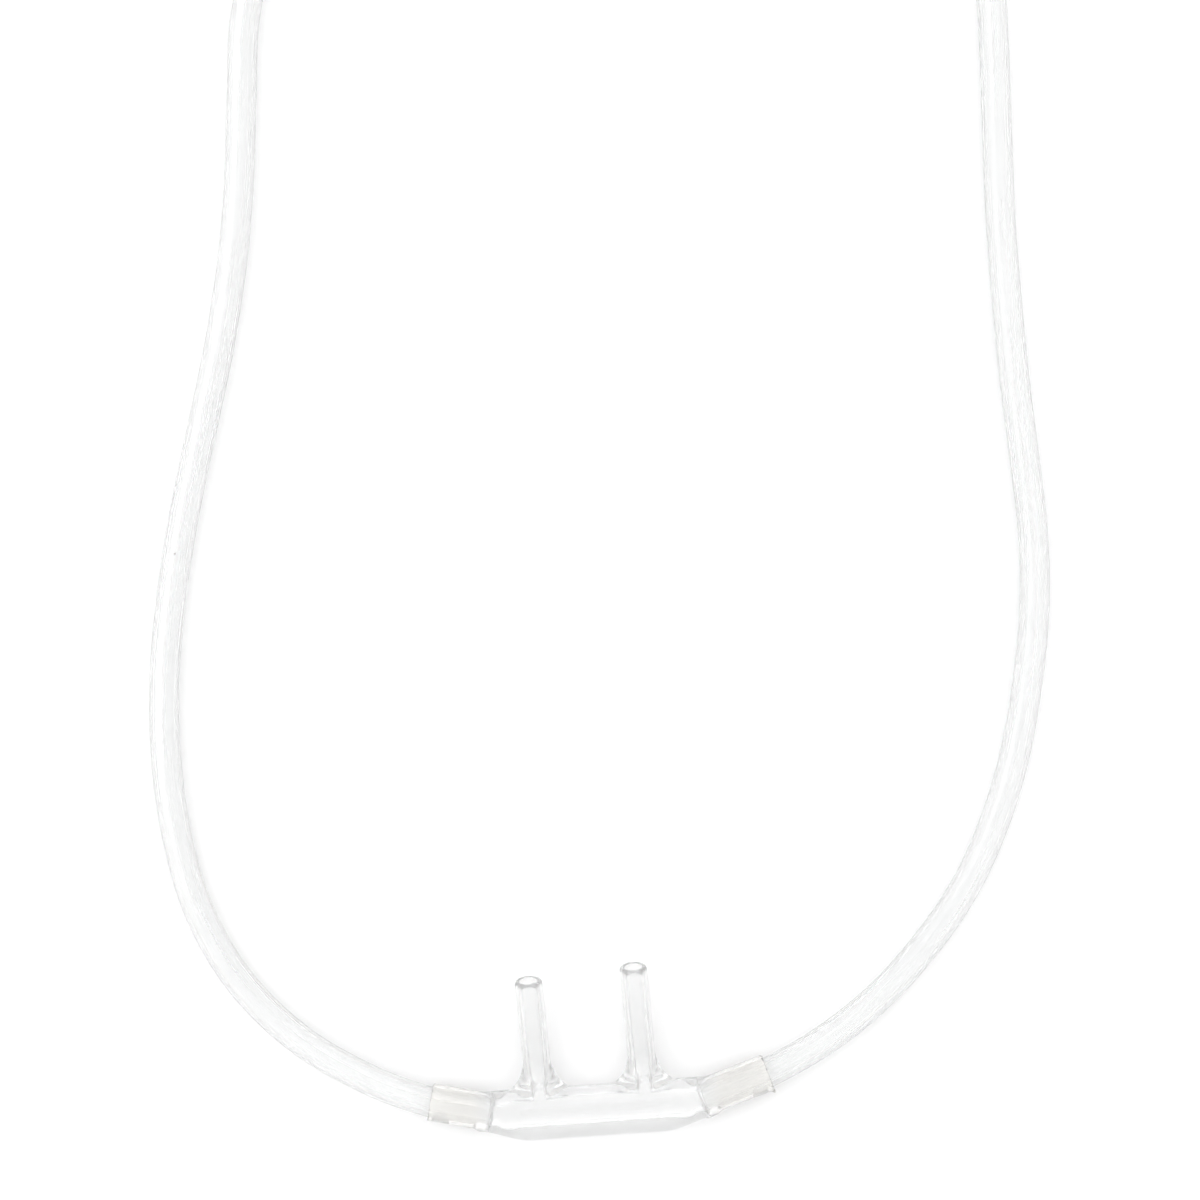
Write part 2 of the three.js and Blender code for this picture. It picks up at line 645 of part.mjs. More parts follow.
// Along +X from the small end that takes the supply tube to the mouth
function funnel() {
  const gripStart = FUNNEL_NECK_LENGTH + FUNNEL_SHOULDER;
  const wall = [
    [0, 0],
    [FUNNEL_NECK_D / 2, 0],
    [FUNNEL_NECK_D / 2, FUNNEL_NECK_LENGTH],
    [FUNNEL_GRIP_D / 2, gripStart],
    [FUNNEL_MOUTH_D / 2, FUNNEL_LENGTH],
    [0, FUNNEL_LENGTH],
  ].map(([r, s]) => new THREE.Vector2(r, s));
  const geometry = new THREE.LatheGeometry(wall, 3 * FUNNEL_RIBS);
  geometry.rotateZ(-Math.PI / 2);
  const on = (x) => new THREE.Vector3(x, 0, 0);
  const ribs = [];
  for (let i = 0; i < FUNNEL_RIBS; i++) {
    const angle = (2 * Math.PI * (i + 0.5)) / FUNNEL_RIBS;
    const rib = new THREE.BoxGeometry(FUNNEL_RIB_LENGTH, FUNNEL_RIB_WIDTH, FUNNEL_GRIP_D / 2);
    rib.translate(
      gripStart + FUNNEL_RIB_START + FUNNEL_RIB_LENGTH / 2,
      0,
      FUNNEL_GRIP_D / 4 + FUNNEL_RIB_HEIGHT,
    );
    rib.rotateX(angle);
    ribs.push(toSolid(rib));
  }
  const throat = FUNNEL_LENGTH - FUNNEL_BORE_DEPTH;
  return cut(
    joined(toSolid(geometry), ...ribs),
    bar(on(-OVERCUT), on(FUNNEL_SOCKET_DEPTH), supplyR + TUBE_FIT),
    bar(on(FUNNEL_SOCKET_DEPTH - GAP), on(throat + GAP), SUPPLY_LUMEN_D / 2),
    bar(
      on(throat),
      on(FUNNEL_LENGTH + OVERCUT),
      FUNNEL_THROAT_BORE_D / 2,
      FUNNEL_MOUTH_BORE_D / 2,
    ),
  );
}

// Materials

const clearPvc = new THREE.MeshStandardMaterial({
  color: 0xeef1f1,
  roughness: 0.22,
  metalness: 0,
  transparent: true,
  opacity: 0.55,
});
const tubePvc = new THREE.MeshStandardMaterial({
  color: 0xf0f1f1,
  roughness: 0.3,
  metalness: 0,
  transparent: true,
  opacity: 0.6,
});
const whiteTie = new THREE.MeshStandardMaterial({ color: 0xf4f4f2, roughness: 0.5, metalness: 0 });

// Assembly

const cannula = new THREE.Group();

function place(name, geometry, material, x = 0, y = 0, z = 0, turn = 0) {
  const mesh = new THREE.Mesh(geometry, material);
  mesh.name = name;
  mesh.position.set(x, y, z);
  mesh.rotation.z = turn;
  cannula.add(mesh);
}

place("nose_piece", toGeometry(nosePiece()), clearPvc);
const leftPoints = earTubePoints(LEFT, LEFT_ROUTE);
const rightPoints = earTubePoints(RIGHT, RIGHT_ROUTE);
place("left_ear_tube", laidTube(leftPoints, EAR_TUBE_D), tubePvc);
place("right_ear_tube", laidTube(rightPoints, EAR_TUBE_D), tubePvc);
const sliderY = NECK_START_Y + SLIDER_FROM_NECK;
place("slider", toGeometry(slider()), clearPvc, NECK_X, sliderY, sliderZ);
const yTurn = Math.atan2(-leaving.x, leaving.y);
place("y_connector", toGeometry(yConnector()), clearPvc, yMouth.x, yMouth.y, yMouth.z, yTurn);
place("supply_tube_lead", laidTube(supplyLeadPoints(), SUPPLY_TUBE_D), tubePvc);
place("supply_tube_coil", toGeometry(coil()), tubePvc, coilX, coilY, lift);
place("supply_tube_tail", laidTube(supplyTailPoints(), SUPPLY_TUBE_D), tubePvc);
place("funnel_connector", toGeometry(funnel()), clearPvc, funnelX, funnelY, funnelZ, Math.PI);
TIE_ANGLES.forEach((angle, i) =>
  place(`tie_${i + 1}`, tie(), whiteTie, coilX, coilY, 0, angle),
);

export default cannula;
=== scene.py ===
"""A nasal oxygen cannula of clear soft PVC, laid flat on a pale floor.

The nose piece lies in front, its two over-ear tubes run back through a slider to a Y connector,
and the supply tube is wound into a tied coil with its funnel connector lying on top. Routes and
shapes are worked out in millimetres and scaled to metres as each piece is finished.
"""

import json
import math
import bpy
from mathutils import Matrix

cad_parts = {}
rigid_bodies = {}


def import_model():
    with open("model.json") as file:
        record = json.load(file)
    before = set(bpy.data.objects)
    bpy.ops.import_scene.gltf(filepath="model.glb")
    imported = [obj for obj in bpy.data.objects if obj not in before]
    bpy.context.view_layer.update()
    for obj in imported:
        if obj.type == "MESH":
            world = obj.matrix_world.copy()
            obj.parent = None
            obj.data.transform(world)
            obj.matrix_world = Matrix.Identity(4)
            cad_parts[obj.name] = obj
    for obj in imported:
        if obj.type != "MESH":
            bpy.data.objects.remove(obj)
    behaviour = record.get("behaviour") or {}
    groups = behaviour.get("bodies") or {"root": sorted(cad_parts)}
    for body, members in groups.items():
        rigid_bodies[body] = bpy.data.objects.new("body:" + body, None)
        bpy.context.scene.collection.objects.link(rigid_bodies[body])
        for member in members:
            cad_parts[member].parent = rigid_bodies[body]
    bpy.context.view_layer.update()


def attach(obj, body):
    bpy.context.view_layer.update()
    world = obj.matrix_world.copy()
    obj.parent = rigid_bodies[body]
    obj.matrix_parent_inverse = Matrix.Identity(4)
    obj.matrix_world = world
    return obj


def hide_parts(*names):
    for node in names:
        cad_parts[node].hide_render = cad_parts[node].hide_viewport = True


bl_info = {
    "name": "Nasal Oxygen Cannula",
    "version": (1, 0, 0),
    "blender": (4, 5, 0),
    "location": "View3D > Sidebar > Cannula",
    "description": "Builds a clear PVC nasal oxygen cannula with its tubes, fittings and ties",
    "category": "Add Mesh",
}

import bmesh
import bpy
from bpy.props import FloatProperty, FloatVectorProperty, IntProperty, PointerProperty
from mathutils import Vector

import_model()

MM = 0.001
TAU = 2 * math.pi
UP = Vector((0, 0, 1))

# Clearances and thicknesses that the CAD model gives the object, in millimetres
GAP = 0.3
FLOOR_GAP = 0.1
PAIR_PITCH = 4.4
LIFT = 0.9

# The nose piece's shape, in millimetres
BODY_LENGTH = 32.4
BODY_TOP = 3.4
BODY_BELLY = 3.45
BODY_END_DROP = 1.75
BODY_DEPTH = 6.0
BODY_CROWN = 0.25
BODY_END_DEPTH = 4.7
BODY_FLAT_SHARE = 0.55
BODY_SQUARENESS = 2.6
BODY_MID_Z = BODY_DEPTH / 2
CHAMBER_LENGTH = 25.8
CHAMBER_TOP = 2.1
CHAMBER_BOTTOM = 1.55
CHAMBER_DEPTH = 3.2
CHAMBER_END_SHARE = 0.6
CHAMBER_SQUARENESS = 3.0
CHAMBER_BLUNTNESS = 6
CHAMBER_MID_Y = (CHAMBER_TOP - CHAMBER_BOTTOM) / 2
PRONG_PITCH = 14.0
PRONG_SHIFT = -0.4
PRONG_LENGTH = 18.85
PRONG_LENGTH_UNEVEN = 0.45
PRONG_LEAN = math.radians(1.5)
PRONG_CURL = math.radians(16)
PRONG_TIP_ROUND = 0.5
FLARE_REACH = 3.6
FLARE_SWELL = 0.85
FLARE_HEIGHT = 4.3
SLEEVE_ROOT = (15.0, 0.85)
SLEEVE_LENGTH = 7.9
SLEEVE_LENGTH_UNEVEN = 0.6
SLEEVE_RISE = math.radians(15.5)
SLEEVE_RISE_UNEVEN = math.radians(1.85)
SLEEVE_INSIDE = 3.0
SOCKET_PAST_ROOT = 1.1

# Flash and the gate mark that the mould left: from, to and radius
FLASH_NUBS = (
    ((23.45, 1.35, 3.2), (23.95, 0.55, 3.2), 0.3),
    ((-5.75, 5.1, 3.7), (-5.35, 6.2, 4.0), 0.3),
    ((14.7, -1.2, 3.8), (14.9, -2.15, 3.9), 0.45),
)
# The body's reach from the middle, where its skin is smoothed more than at the prongs' tips
SOFTENED_BODY = (18.5, 8.5)
BODY_SOFTENING = 14
SKIN_SOFTENING = 3

# Where the tubes go, in millimetres: the free stretch of each over-ear tube, then the straight
# neck through the slider, then the wrap round the coil to the Y connector
LEFT_ROUTE = (
    (-29.8, 5.9), (-38.7, 11.8), (-46.2, 20), (-51, 29.5), (-53.3, 39.5), (-54.1, 50),
    (-53.6, 61), (-51.9, 72), (-49.4, 83), (-46.3, 94), (-43.2, 105), (-40.7, 116),
    (-39, 127), (-37.9, 138), (-36.7, 148.5), (-33.6, 158.3), (-27.6, 166.4), (-18.8, 172.4),
    (-8.5, 176.6), (2.2, 180.3), (12.6, 184.3), (21.7, 189.1), (29.2, 194.7), (34.8, 201),
)
RIGHT_ROUTE = (
    (30.6, 6.9), (38.3, 12.1), (45.4, 18.9), (51.2, 26.3), (55.7, 34.7), (59, 43.5),
    (61.3, 52.8), (62.9, 62.5), (63.4, 72), (63, 82), (62.4, 92.5), (62.1, 103),
    (62, 114), (62.3, 125), (62.7, 136), (62.8, 146.5), (62, 157), (59.4, 166.8),
    (55.4, 176), (50.9, 184.6), (46.8, 193), (43.9, 200.6),
)
RISE_POINTS = 2
FLECK_AT = (-50.8, 77.75, 3.78)
NECK_X = 40.0
NECK_START_Y = 208.0
NECK_END_Y = 268.0
NECK_POINTS = 7
WRAP_SWEEP = math.radians(200)
WRAP_POINTS = 15
SLIDER_START_Y = 218.0
SLIDER_LENGTH = 12.0
SLIDER_WALL = 0.9
Y_LENGTH = 24.0
Y_WALL = 1.1
Y_SOCKET = 8.0
Y_LEAD_IN = 12.0
Y_LEAD_OUT = 11.0

# The coil of supply tube, in millimetres: the radius of each turn, layer by layer from below
COIL_LAYERS = ((36, 30.5, 25), (22.25, 27.75, 33.25, 38.75), (36, 30.5, 25))
COIL_INNER_R = 19.4
COIL_OUTER_R = 41.6
COIL_HEIGHT = 15.226
SUPPLY_TURN_R = 25.0
TAIL_R = 25.0
FUNNEL_OUT = 34.3
FUNNEL_START = 3.0
FUNNEL_SOCKET = 12.0
FUNNEL_RADIUS = 6.3
TIE_ANGLES = (math.radians(12), math.radians(184))

# The twelve turns shift from lane to lane in windows round the coil, in degrees, one after
# another so that a turn has left its lane before the next one comes into it
SHIFT_TOP = (67, 137)
CLIMB_TO_TOP = (122, 192)
SHIFT_MIDDLE = (167, 237)
CLIMB_TO_MIDDLE = (222, 292)
SHIFT_BOTTOM = (267, 337)
CLIMB_TO_TAIL = (45, 115)
CROSSING_RISE = 0.74
COIL_STEP = 18
# Room for a tie's strip between the coil and the tail that lies on it
TIE_ROOM = 0.9

# How much light a wall of clear PVC lets through where it casts a shadow. This is fitted to the
# photo's brightness, and isn't a measured property
SHADOW_CLEARNESS = 0.64


class NosePieceSettings(bpy.types.PropertyGroup):
    prong_tip: FloatProperty(
        name="Prong tip", description="Outside diameter of each prong at its tip",
        default=0.0037, min=0.003, max=0.0045, unit="LENGTH", precision=5,
    )
    prong_bore: FloatProperty(
        name="Prong bore", description="Diameter of the opening through each prong",
        default=0.002, min=0.001, max=0.003, unit="LENGTH", precision=5,
    )
    sleeve: FloatProperty(
        name="Sleeve", description="Outside diameter of the sleeves that take the tubes",
        default=0.005, min=0.0048, max=0.0056, unit="LENGTH", precision=5,
    )
    detail: FloatProperty(
        name="Detail", description="Spacing of the points on its finished skin",
        default=0.00017, min=0.00014, max=0.0005, unit="LENGTH", precision=6,
    )
    colour: FloatVectorProperty(
        name="Colour", description="Tint of the moulded PVC",
        default=(0.982, 0.984, 0.984), min=0, max=1, subtype="COLOR",
    )


class TubeSettings(bpy.types.PropertyGroup):
    ear_diameter: FloatProperty(
        name="Over-ear tube", description="Outside diameter of the two over-ear tubes",
        default=0.004, min=0.003, max=0.0042, unit="LENGTH", precision=5,
    )
    ear_lumen: FloatProperty(
        name="Over-ear lumen", description="Inside diameter of the two over-ear tubes",
        default=0.0027, min=0.001, max=0.0034, unit="LENGTH", precision=5,
    )
    supply_diameter: FloatProperty(
        name="Supply tube", description="Outside diameter of the supply tube",
        default=0.0055, min=0.0045, max=0.0056, unit="LENGTH", precision=5,
    )
    supply_lumen: FloatProperty(
        name="Supply lumen", description="Inside diameter of the supply tube",
        default=0.0038, min=0.002, max=0.0045, unit="LENGTH", precision=5,
    )
    colour: FloatVectorProperty(
        name="Colour", description="Tint of the extruded PVC",
        default=(0.957, 0.96, 0.96), min=0, max=1, subtype="COLOR",
    )


class FittingSettings(bpy.types.PropertyGroup):
    tube_fit: FloatProperty(
        name="Fit", description="Room round a tube in its socket, on the radius",
        default=0.00006, min=0.00002, max=0.00015, unit="LENGTH", precision=6,
    )
    grip: FloatProperty(
        name="Funnel grip", description="Diameter of the funnel connector's grip, without ribs",
        default=0.0116, min=0.011, max=0.0118, unit="LENGTH", precision=5,
    )
    ribs: IntProperty(
        name="Funnel ribs", description="Number of ribs round the funnel connector's grip",
        default=10, min=4, max=16,
    )


class TieSettings(bpy.types.PropertyGroup):
    width: FloatProperty(
        name="Width", description="Width of the flat twist ties round the coil",
        default=0.003, min=0.002, max=0.004, unit="LENGTH", precision=5,
    )
    colour: FloatVectorProperty(
        name="Colour", description="Colour of the ties' plastic coat",
        default=(0.86, 0.86, 0.84), min=0, max=1, subtype="COLOR",
    )


class StageSettings(bpy.types.PropertyGroup):
    floor: FloatVectorProperty(
        name="Floor", description="Colour of the floor that the cannula lies on",
        default=(0.9, 0.9, 0.9), min=0, max=1, subtype="COLOR",
    )
    sky: FloatProperty(
        name="Sky", description="Brightness of the even light from above",
        default=1.22, min=0, max=5,
    )


# Shapes

def ease(low, high, share):
    share = min(max(share, 0.0), 1.0)
    return low + (high - low) * share * share * (3 - 2 * share)


def circle(count, place):
    """The points of a ring: place(u, v) puts a point of the unit circle into space"""
    return [place(math.cos(TAU * i / count), math.sin(TAU * i / count)) for i in range(count)]


def squared(u, v, power):
    """How far out a point of the unit circle lies on a superellipse"""
    return (abs(u) ** power + abs(v) ** power) ** (-1 / power)


def loft(rings, closed=False, straight=None):
    """A skin over rings of points: a grid, rolled up with one row on each ring. It is capped at
    its two ends, or closed round like a hollow tube. Each point keeps its place on the straight
    form of the piece, where rings of those are given too"""
    count = len(rings[0])
    rows = len(rings) if closed else len(rings) - 1
    shape = bmesh.new()
    layer = shape.verts.layers.float_vector.new("straightened") if straight else None
    bmesh.ops.create_grid(shape, x_segments=count, y_segments=rows, size=1.0)
    for vert in shape.verts:
        across = round((vert.co.x + 1) / 2 * count) % count
        row = round((vert.co.y + 1) / 2 * rows) % len(rings)
        vert.co = rings[row][across]
        if straight:
            vert[layer] = straight[row][across]
    bmesh.ops.remove_doubles(shape, verts=shape.verts, dist=1e-4)
    if not closed:
        bmesh.ops.holes_fill(shape, edges=[e for e in shape.edges if e.is_boundary])
    bmesh.ops.recalc_face_normals(shape, faces=shape.faces)
    return shape


def bar(start, end, radius_start, radius_end=None, count=48):
    """A round bar between two points"""
    radius_end = radius_start if radius_end is None else radius_end
    along = (end - start).normalized()
    across = along.orthogonal().normalized()
    deep = along.cross(across)
    rings = []
    for at, radius in ((start, radius_start), (end, radius_end)):
        rings.append(circle(count, lambda u, v: at + (across * u + deep * v) * radius))
    return loft(rings)


def piece(name, shape, scale=MM):
    """An object from a bmesh in millimetres"""
    bmesh.ops.scale(shape, vec=(scale, scale, scale), verts=shape.verts)
    mesh = bpy.data.meshes.new(name)
    shape.to_mesh(mesh)
    shape.free()
    made = bpy.data.objects.new(name, mesh)
    bpy.context.scene.collection.objects.link(made)
    return made


def settle(made):
    """Turns a piece's modifiers into its mesh"""
    bpy.context.view_layer.update()
    graph = bpy.context.evaluated_depsgraph_get()
    mesh = bpy.data.meshes.new_from_object(made.evaluated_get(graph))
    made.modifiers.clear()
    made.data = mesh
    return made


def combine(made, operation, shapes):
    """Joins shapes to a piece, or cuts them from it"""
    parts = bpy.data.collections.new("shapes to combine")
    bpy.context.scene.collection.children.link(parts)
    for shape in shapes:
        part = piece("shape to combine", shape)
        bpy.context.scene.collection.objects.unlink(part)
        parts.objects.link(part)
    boolean = made.modifiers.new("combine", "BOOLEAN")
    boolean.operation = operation
    boolean.solver = "EXACT"
    boolean.operand_type = "COLLECTION"
    boolean.collection = parts
    settle(made)
    for part in list(parts.objects):
        bpy.data.objects.remove(part)
    bpy.data.collections.remove(parts)
    if not made.data.polygons:
        raise RuntimeError(f"{made.name} is empty after its shapes were combined")
    return made


def finish_piece(made, material, node, body="cannula", sharp=math.radians(38)):
    """Shades a piece, gives it its material and puts it in its node's place"""
    made.data.shade_smooth()
    made.data.set_sharp_from_angle(angle=sharp)
    made.data.materials.clear()
    made.data.materials.append(material)
    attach(made, body)
    if node:
        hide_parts(*node)
    return made


def smooth_curve(points, step):
    """Points a step apart on the smooth curve through a route's points"""
    route = [2 * points[0] - points[1], *points, 2 * points[-1] - points[-2]]
    curve = []
    for before, start, end, after in zip(route, route[1:], route[2:], route[3:]):
        count = max(1, math.ceil((end - start).length / step))
        for i in range(count):
            t = i / count
            curve.append(
                0.5 * (2 * start + (end - before) * t
                       + (2 * before - 5 * start + 4 * end - after) * t ** 2
                       + (3 * start - before - 3 * end + after) * t ** 3)
            )
    return curve + [points[-1]]


def length_of(curve):
    return sum((b - a).length for a, b in zip(curve, curve[1:]))


def hollow_tube(name, curve, outer, lumen, count):
    """A tube along a curve, in millimetres: its outer wall there and its inner wall back. Each
    point keeps its place on the tube when straightened out, for the streaks that run along it"""
    frames = []
    for i, at in enumerate(curve):
        along = (curve[min(i + 1, len(curve) - 1)] - curve[max(i - 1, 0)]).normalized()
        side = along.cross(UP).normalized()
        frames.append((at, side, side.cross(along)))
    rings = []
    for radius, order in ((outer / 2, frames), (lumen / 2, frames[::-1])):
        for at, side, high in order:
            rings.append(circle(count, lambda u, v: at + (side * u + high * v) * radius))
    far = [0.0]
    for a, b in zip(curve, curve[1:]):
        far.append(far[-1] + (b - a).length)
    straight = []
    for radius, order in ((outer / 2, far), (lumen / 2, far[::-1])):
        for s in order:
            straight.append(circle(count, lambda u, v: Vector((u * radius, v * radius, s)) * MM))
    return piece(name, loft(rings, closed=True, straight=straight))


# Routes

def at_coil(radius, angle, z):
    """A point at a radius and an angle, in radians, round the coil's axis"""
    return Vector((COIL_X + radius * math.cos(angle), COIL_Y + radius * math.sin(angle), z))


def sleeve_at(side, s):
    """A point on a sleeve's axis, s past its root"""
    rise = SLEEVE_RISE + side * SLEEVE_RISE_UNEVEN
    return Vector((
        side * (SLEEVE_ROOT[0] + s * math.cos(rise)),
        SLEEVE_ROOT[1] + s * math.sin(rise),
        BODY_MID_Z,
    ))


def sleeve_length(side):
    return SLEEVE_LENGTH + side * SLEEVE_LENGTH_UNEVEN


EAR_R = 2.0
SUPPLY_R = 2.75
TUBE_FIT = 0.15
HALF_PAIR = PAIR_PITCH / 2
SLIDER_Z = EAR_R + SLIDER_WALL
TIED_EAR_Z = LIFT + EAR_R
WRAP_R = COIL_OUTER_R + GAP + TUBE_FIT + EAR_R + HALF_PAIR
COIL_X = NECK_X - WRAP_R
COIL_Y = NECK_END_Y
Y_OUTLET_R = SUPPLY_R + TUBE_FIT + Y_WALL
OUTWARD = Vector((math.cos(WRAP_SWEEP), math.sin(WRAP_SWEEP), 0))
LEAVING = Vector((-OUTWARD.y, OUTWARD.x, 0))
Y_MOUTH = at_coil(WRAP_R, WRAP_SWEEP, Y_OUTLET_R) + LEAVING * Y_LEAD_IN
FUNNEL_X = COIL_X - FUNNEL_START
FUNNEL_Y = COIL_Y + FUNNEL_OUT
FUNNEL_Z = LIFT + COIL_HEIGHT + GAP + FUNNEL_RADIUS


def ear_tube_route(side, free_stretch):
    inside = GAP - SOCKET_PAST_ROOT
    mouth = sleeve_length(side)
    route = [sleeve_at(side, s) for s in (inside, (inside + mouth) / 2, mouth)]
    on_floor = EAR_R + FLOOR_GAP
    last = len(free_stretch) - 1
    for i, (x, y) in enumerate(free_stretch):
        from_sleeve = max(1 - i / RISE_POINTS, 0)
        to_slider = max(1 - (last - i) / RISE_POINTS, 0)
        rise = ((BODY_MID_Z - on_floor) * from_sleeve + (SLIDER_Z - on_floor) * to_slider) / 2
        route.append(Vector((x, y, on_floor + rise)))
    for i in range(NECK_POINTS):
        y = NECK_START_Y + (NECK_END_Y - NECK_START_Y) * i / NECK_POINTS
        route.append(Vector((NECK_X + side * HALF_PAIR, y, SLIDER_Z)))
    for i in range(WRAP_POINTS + 1):
        angle = WRAP_SWEEP * i / WRAP_POINTS
        route.append(at_coil(WRAP_R + side * HALF_PAIR, angle, TIED_EAR_Z))
    for s in (0, (Y_SOCKET - GAP) / 2, Y_SOCKET - GAP):
        route.append(Y_MOUTH + OUTWARD * side * HALF_PAIR + LEAVING * s)
    return route


def supply_lead_route():
    """From the Y connector round a bend, to where the tube touches its first turn"""
    start = Y_LENGTH - Y_SOCKET + GAP
    route = [Y_MOUTH + LEAVING * (start + s) for s in (0, Y_LEAD_OUT / 2, Y_LEAD_OUT)]
    centre = route[-1] - OUTWARD * SUPPLY_TURN_R
    from_coil = Vector((centre.x - COIL_X, centre.y - COIL_Y))
    first_turn = COIL_LAYERS[0][0]
    touch = math.atan2(from_coil.y, from_coil.x)
    touch += math.acos((first_turn - SUPPLY_TURN_R) / from_coil.length)
    sweep = (touch - WRAP_SWEEP) % TAU
    bends = math.ceil(math.degrees(sweep) / 25)
    on_floor = SUPPLY_R + FLOOR_GAP
    for i in range(1, bends + 1):
        angle = WRAP_SWEEP + sweep * i / bends
        round_bend = Vector((math.cos(angle), math.sin(angle), 0)) * SUPPLY_TURN_R
        route.append(centre + round_bend)
        route[-1].z = ease(Y_OUTLET_R, on_floor, i / 2)
    touching = at_coil(first_turn, touch, LIFT + FLOOR_GAP + SUPPLY_R)
    route.append((route[-1] + touching) / 2)
    route.append(touching)
    return route, math.degrees(touch) % 360


def crossing_share(degrees, low, high):
    """How much of the rise a turn has at an angle, from low to high round the coil"""
    soft = 25
    return max(
        min(
            ease(0, 1, (degrees + whole - low + soft) / soft),
            ease(1, 0, (degrees + whole - high) / soft),
        )
        for whole in (-360, 0, 360)
    )


def crossing_rises(degrees):
    """How far the middle layer stands off the bottom one where turns cross, and the top layer
    off the middle one"""
    return (
        CROSSING_RISE * crossing_share(degrees, SHIFT_MIDDLE[0], SHIFT_BOTTOM[1]),
        CROSSING_RISE * crossing_share(degrees, SHIFT_TOP[0], SHIFT_MIDDLE[1]),
    )


def coil_route(touch):
    """The turns from the point where the lead touches the first one. A turn keeps its lane for
    most of the way round, then shifts to the next lane, or climbs to the next layer"""
    lanes = [(r, layer) for layer, radii in enumerate(COIL_LAYERS) for r in radii]
    lanes.append((TAIL_R, 3))
    windows = (
        [SHIFT_BOTTOM] * 2 + [CLIMB_TO_MIDDLE] + [SHIFT_MIDDLE] * 3
        + [CLIMB_TO_TOP] + [SHIFT_TOP] * 2 + [CLIMB_TO_TAIL]
    )
    shifts = []
    reached = touch
    for window in windows:
        turns = math.ceil((reached + 200 - window[0]) / 360)
        shifts.append((window[0] + 360 * turns, window[1] + 360 * turns))
        reached = shifts[-1][1]
    layer_rise = 2 * SUPPLY_R * math.sqrt(3) / 2
    tail_z = LIFT + COIL_HEIGHT + GAP + SUPPLY_R + TIE_ROOM
    heights = [LIFT + FLOOR_GAP + SUPPLY_R + layer_rise * i for i in range(3)]
    end = 360 * math.ceil((reached - 90) / 360) + 90
    first = math.ceil((touch + 9) / COIL_STEP) * COIL_STEP
    route = []
    for degrees in range(first, end + 1, COIL_STEP):
        radius, layer = lanes[0]
        for (low, high), start, after in zip(shifts, lanes, lanes[1:]):
            share = (degrees - low) / (high - low)
            if share > 0:
                radius = ease(start[0], after[0], share)
                layer = ease(start[1], after[1], share)
        around = degrees % 360
        over_bottom, over_middle = crossing_rises(around)
        rises = (0, over_bottom, over_bottom + over_middle, over_bottom + over_middle)
        levels = [z + rise for z, rise in zip(heights + [tail_z], rises)]
        below = min(int(layer), 2)
        z = levels[below] + (levels[below + 1] - levels[below]) * (layer - below)
        run_out = 1 - (end - degrees) / 90
        radius = ease(radius, FUNNEL_OUT, run_out)
        z = ease(z, FUNNEL_Z, run_out)
        route.append(at_coil(radius, math.radians(degrees), z))
    in_socket = FUNNEL_SOCKET - GAP
    for s in (in_socket / 2, in_socket):
        route.append(Vector((FUNNEL_X - s, FUNNEL_Y, FUNNEL_Z)))
    return route


# Materials

def linear(code):
    """A colour from its sRGB hex value"""
    channels = [int(code[i:i + 2], 16) / 255 for i in (0, 2, 4)]
    return [c / 12.92 if c <= 0.04045 else ((c + 0.055) / 1.055) ** 2.4 for c in channels] + [1.0]


def add_node(tree, kind, settings=None, values=None, links=None):
    """Adds a node, with its settings, the values of its sockets and the links into them"""
    node = tree.nodes.new(kind)
    for name, value in (settings or {}).items():
        setattr(node, name, value)
    for socket, value in (values or {}).items():
        node.inputs[socket].default_value = value
    for socket, source in (links or {}).items():
        tree.links.new(source, node.inputs[socket])
    return node


def new_material(name):
    material = bpy.data.materials.new(name)
    material.use_nodes = True
    material.node_tree.nodes.clear()
    return material, material.node_tree


def finish_material(tree, shader):
    add_node(tree, "ShaderNodeOutputMaterial", links={"Surface": shader.outputs["BSDF"]})


def finish_clear_material(tree, shader):
    """Finishes a clear material whose shadows let most of the light through"""
    path = add_node(tree, "ShaderNodeLightPath")
    through = add_node(
        tree, "ShaderNodeBsdfTransparent", values={"Color": (*[SHADOW_CLEARNESS] * 3, 1)},
    )
    both = add_node(
        tree, "ShaderNodeMixShader",
        links={0: path.outputs["Is Shadow Ray"], 1: shader.outputs["BSDF"],
               2: through.outputs["BSDF"]},
    )
    add_node(tree, "ShaderNodeOutputMaterial", links={"Surface": both.outputs["Shader"]})


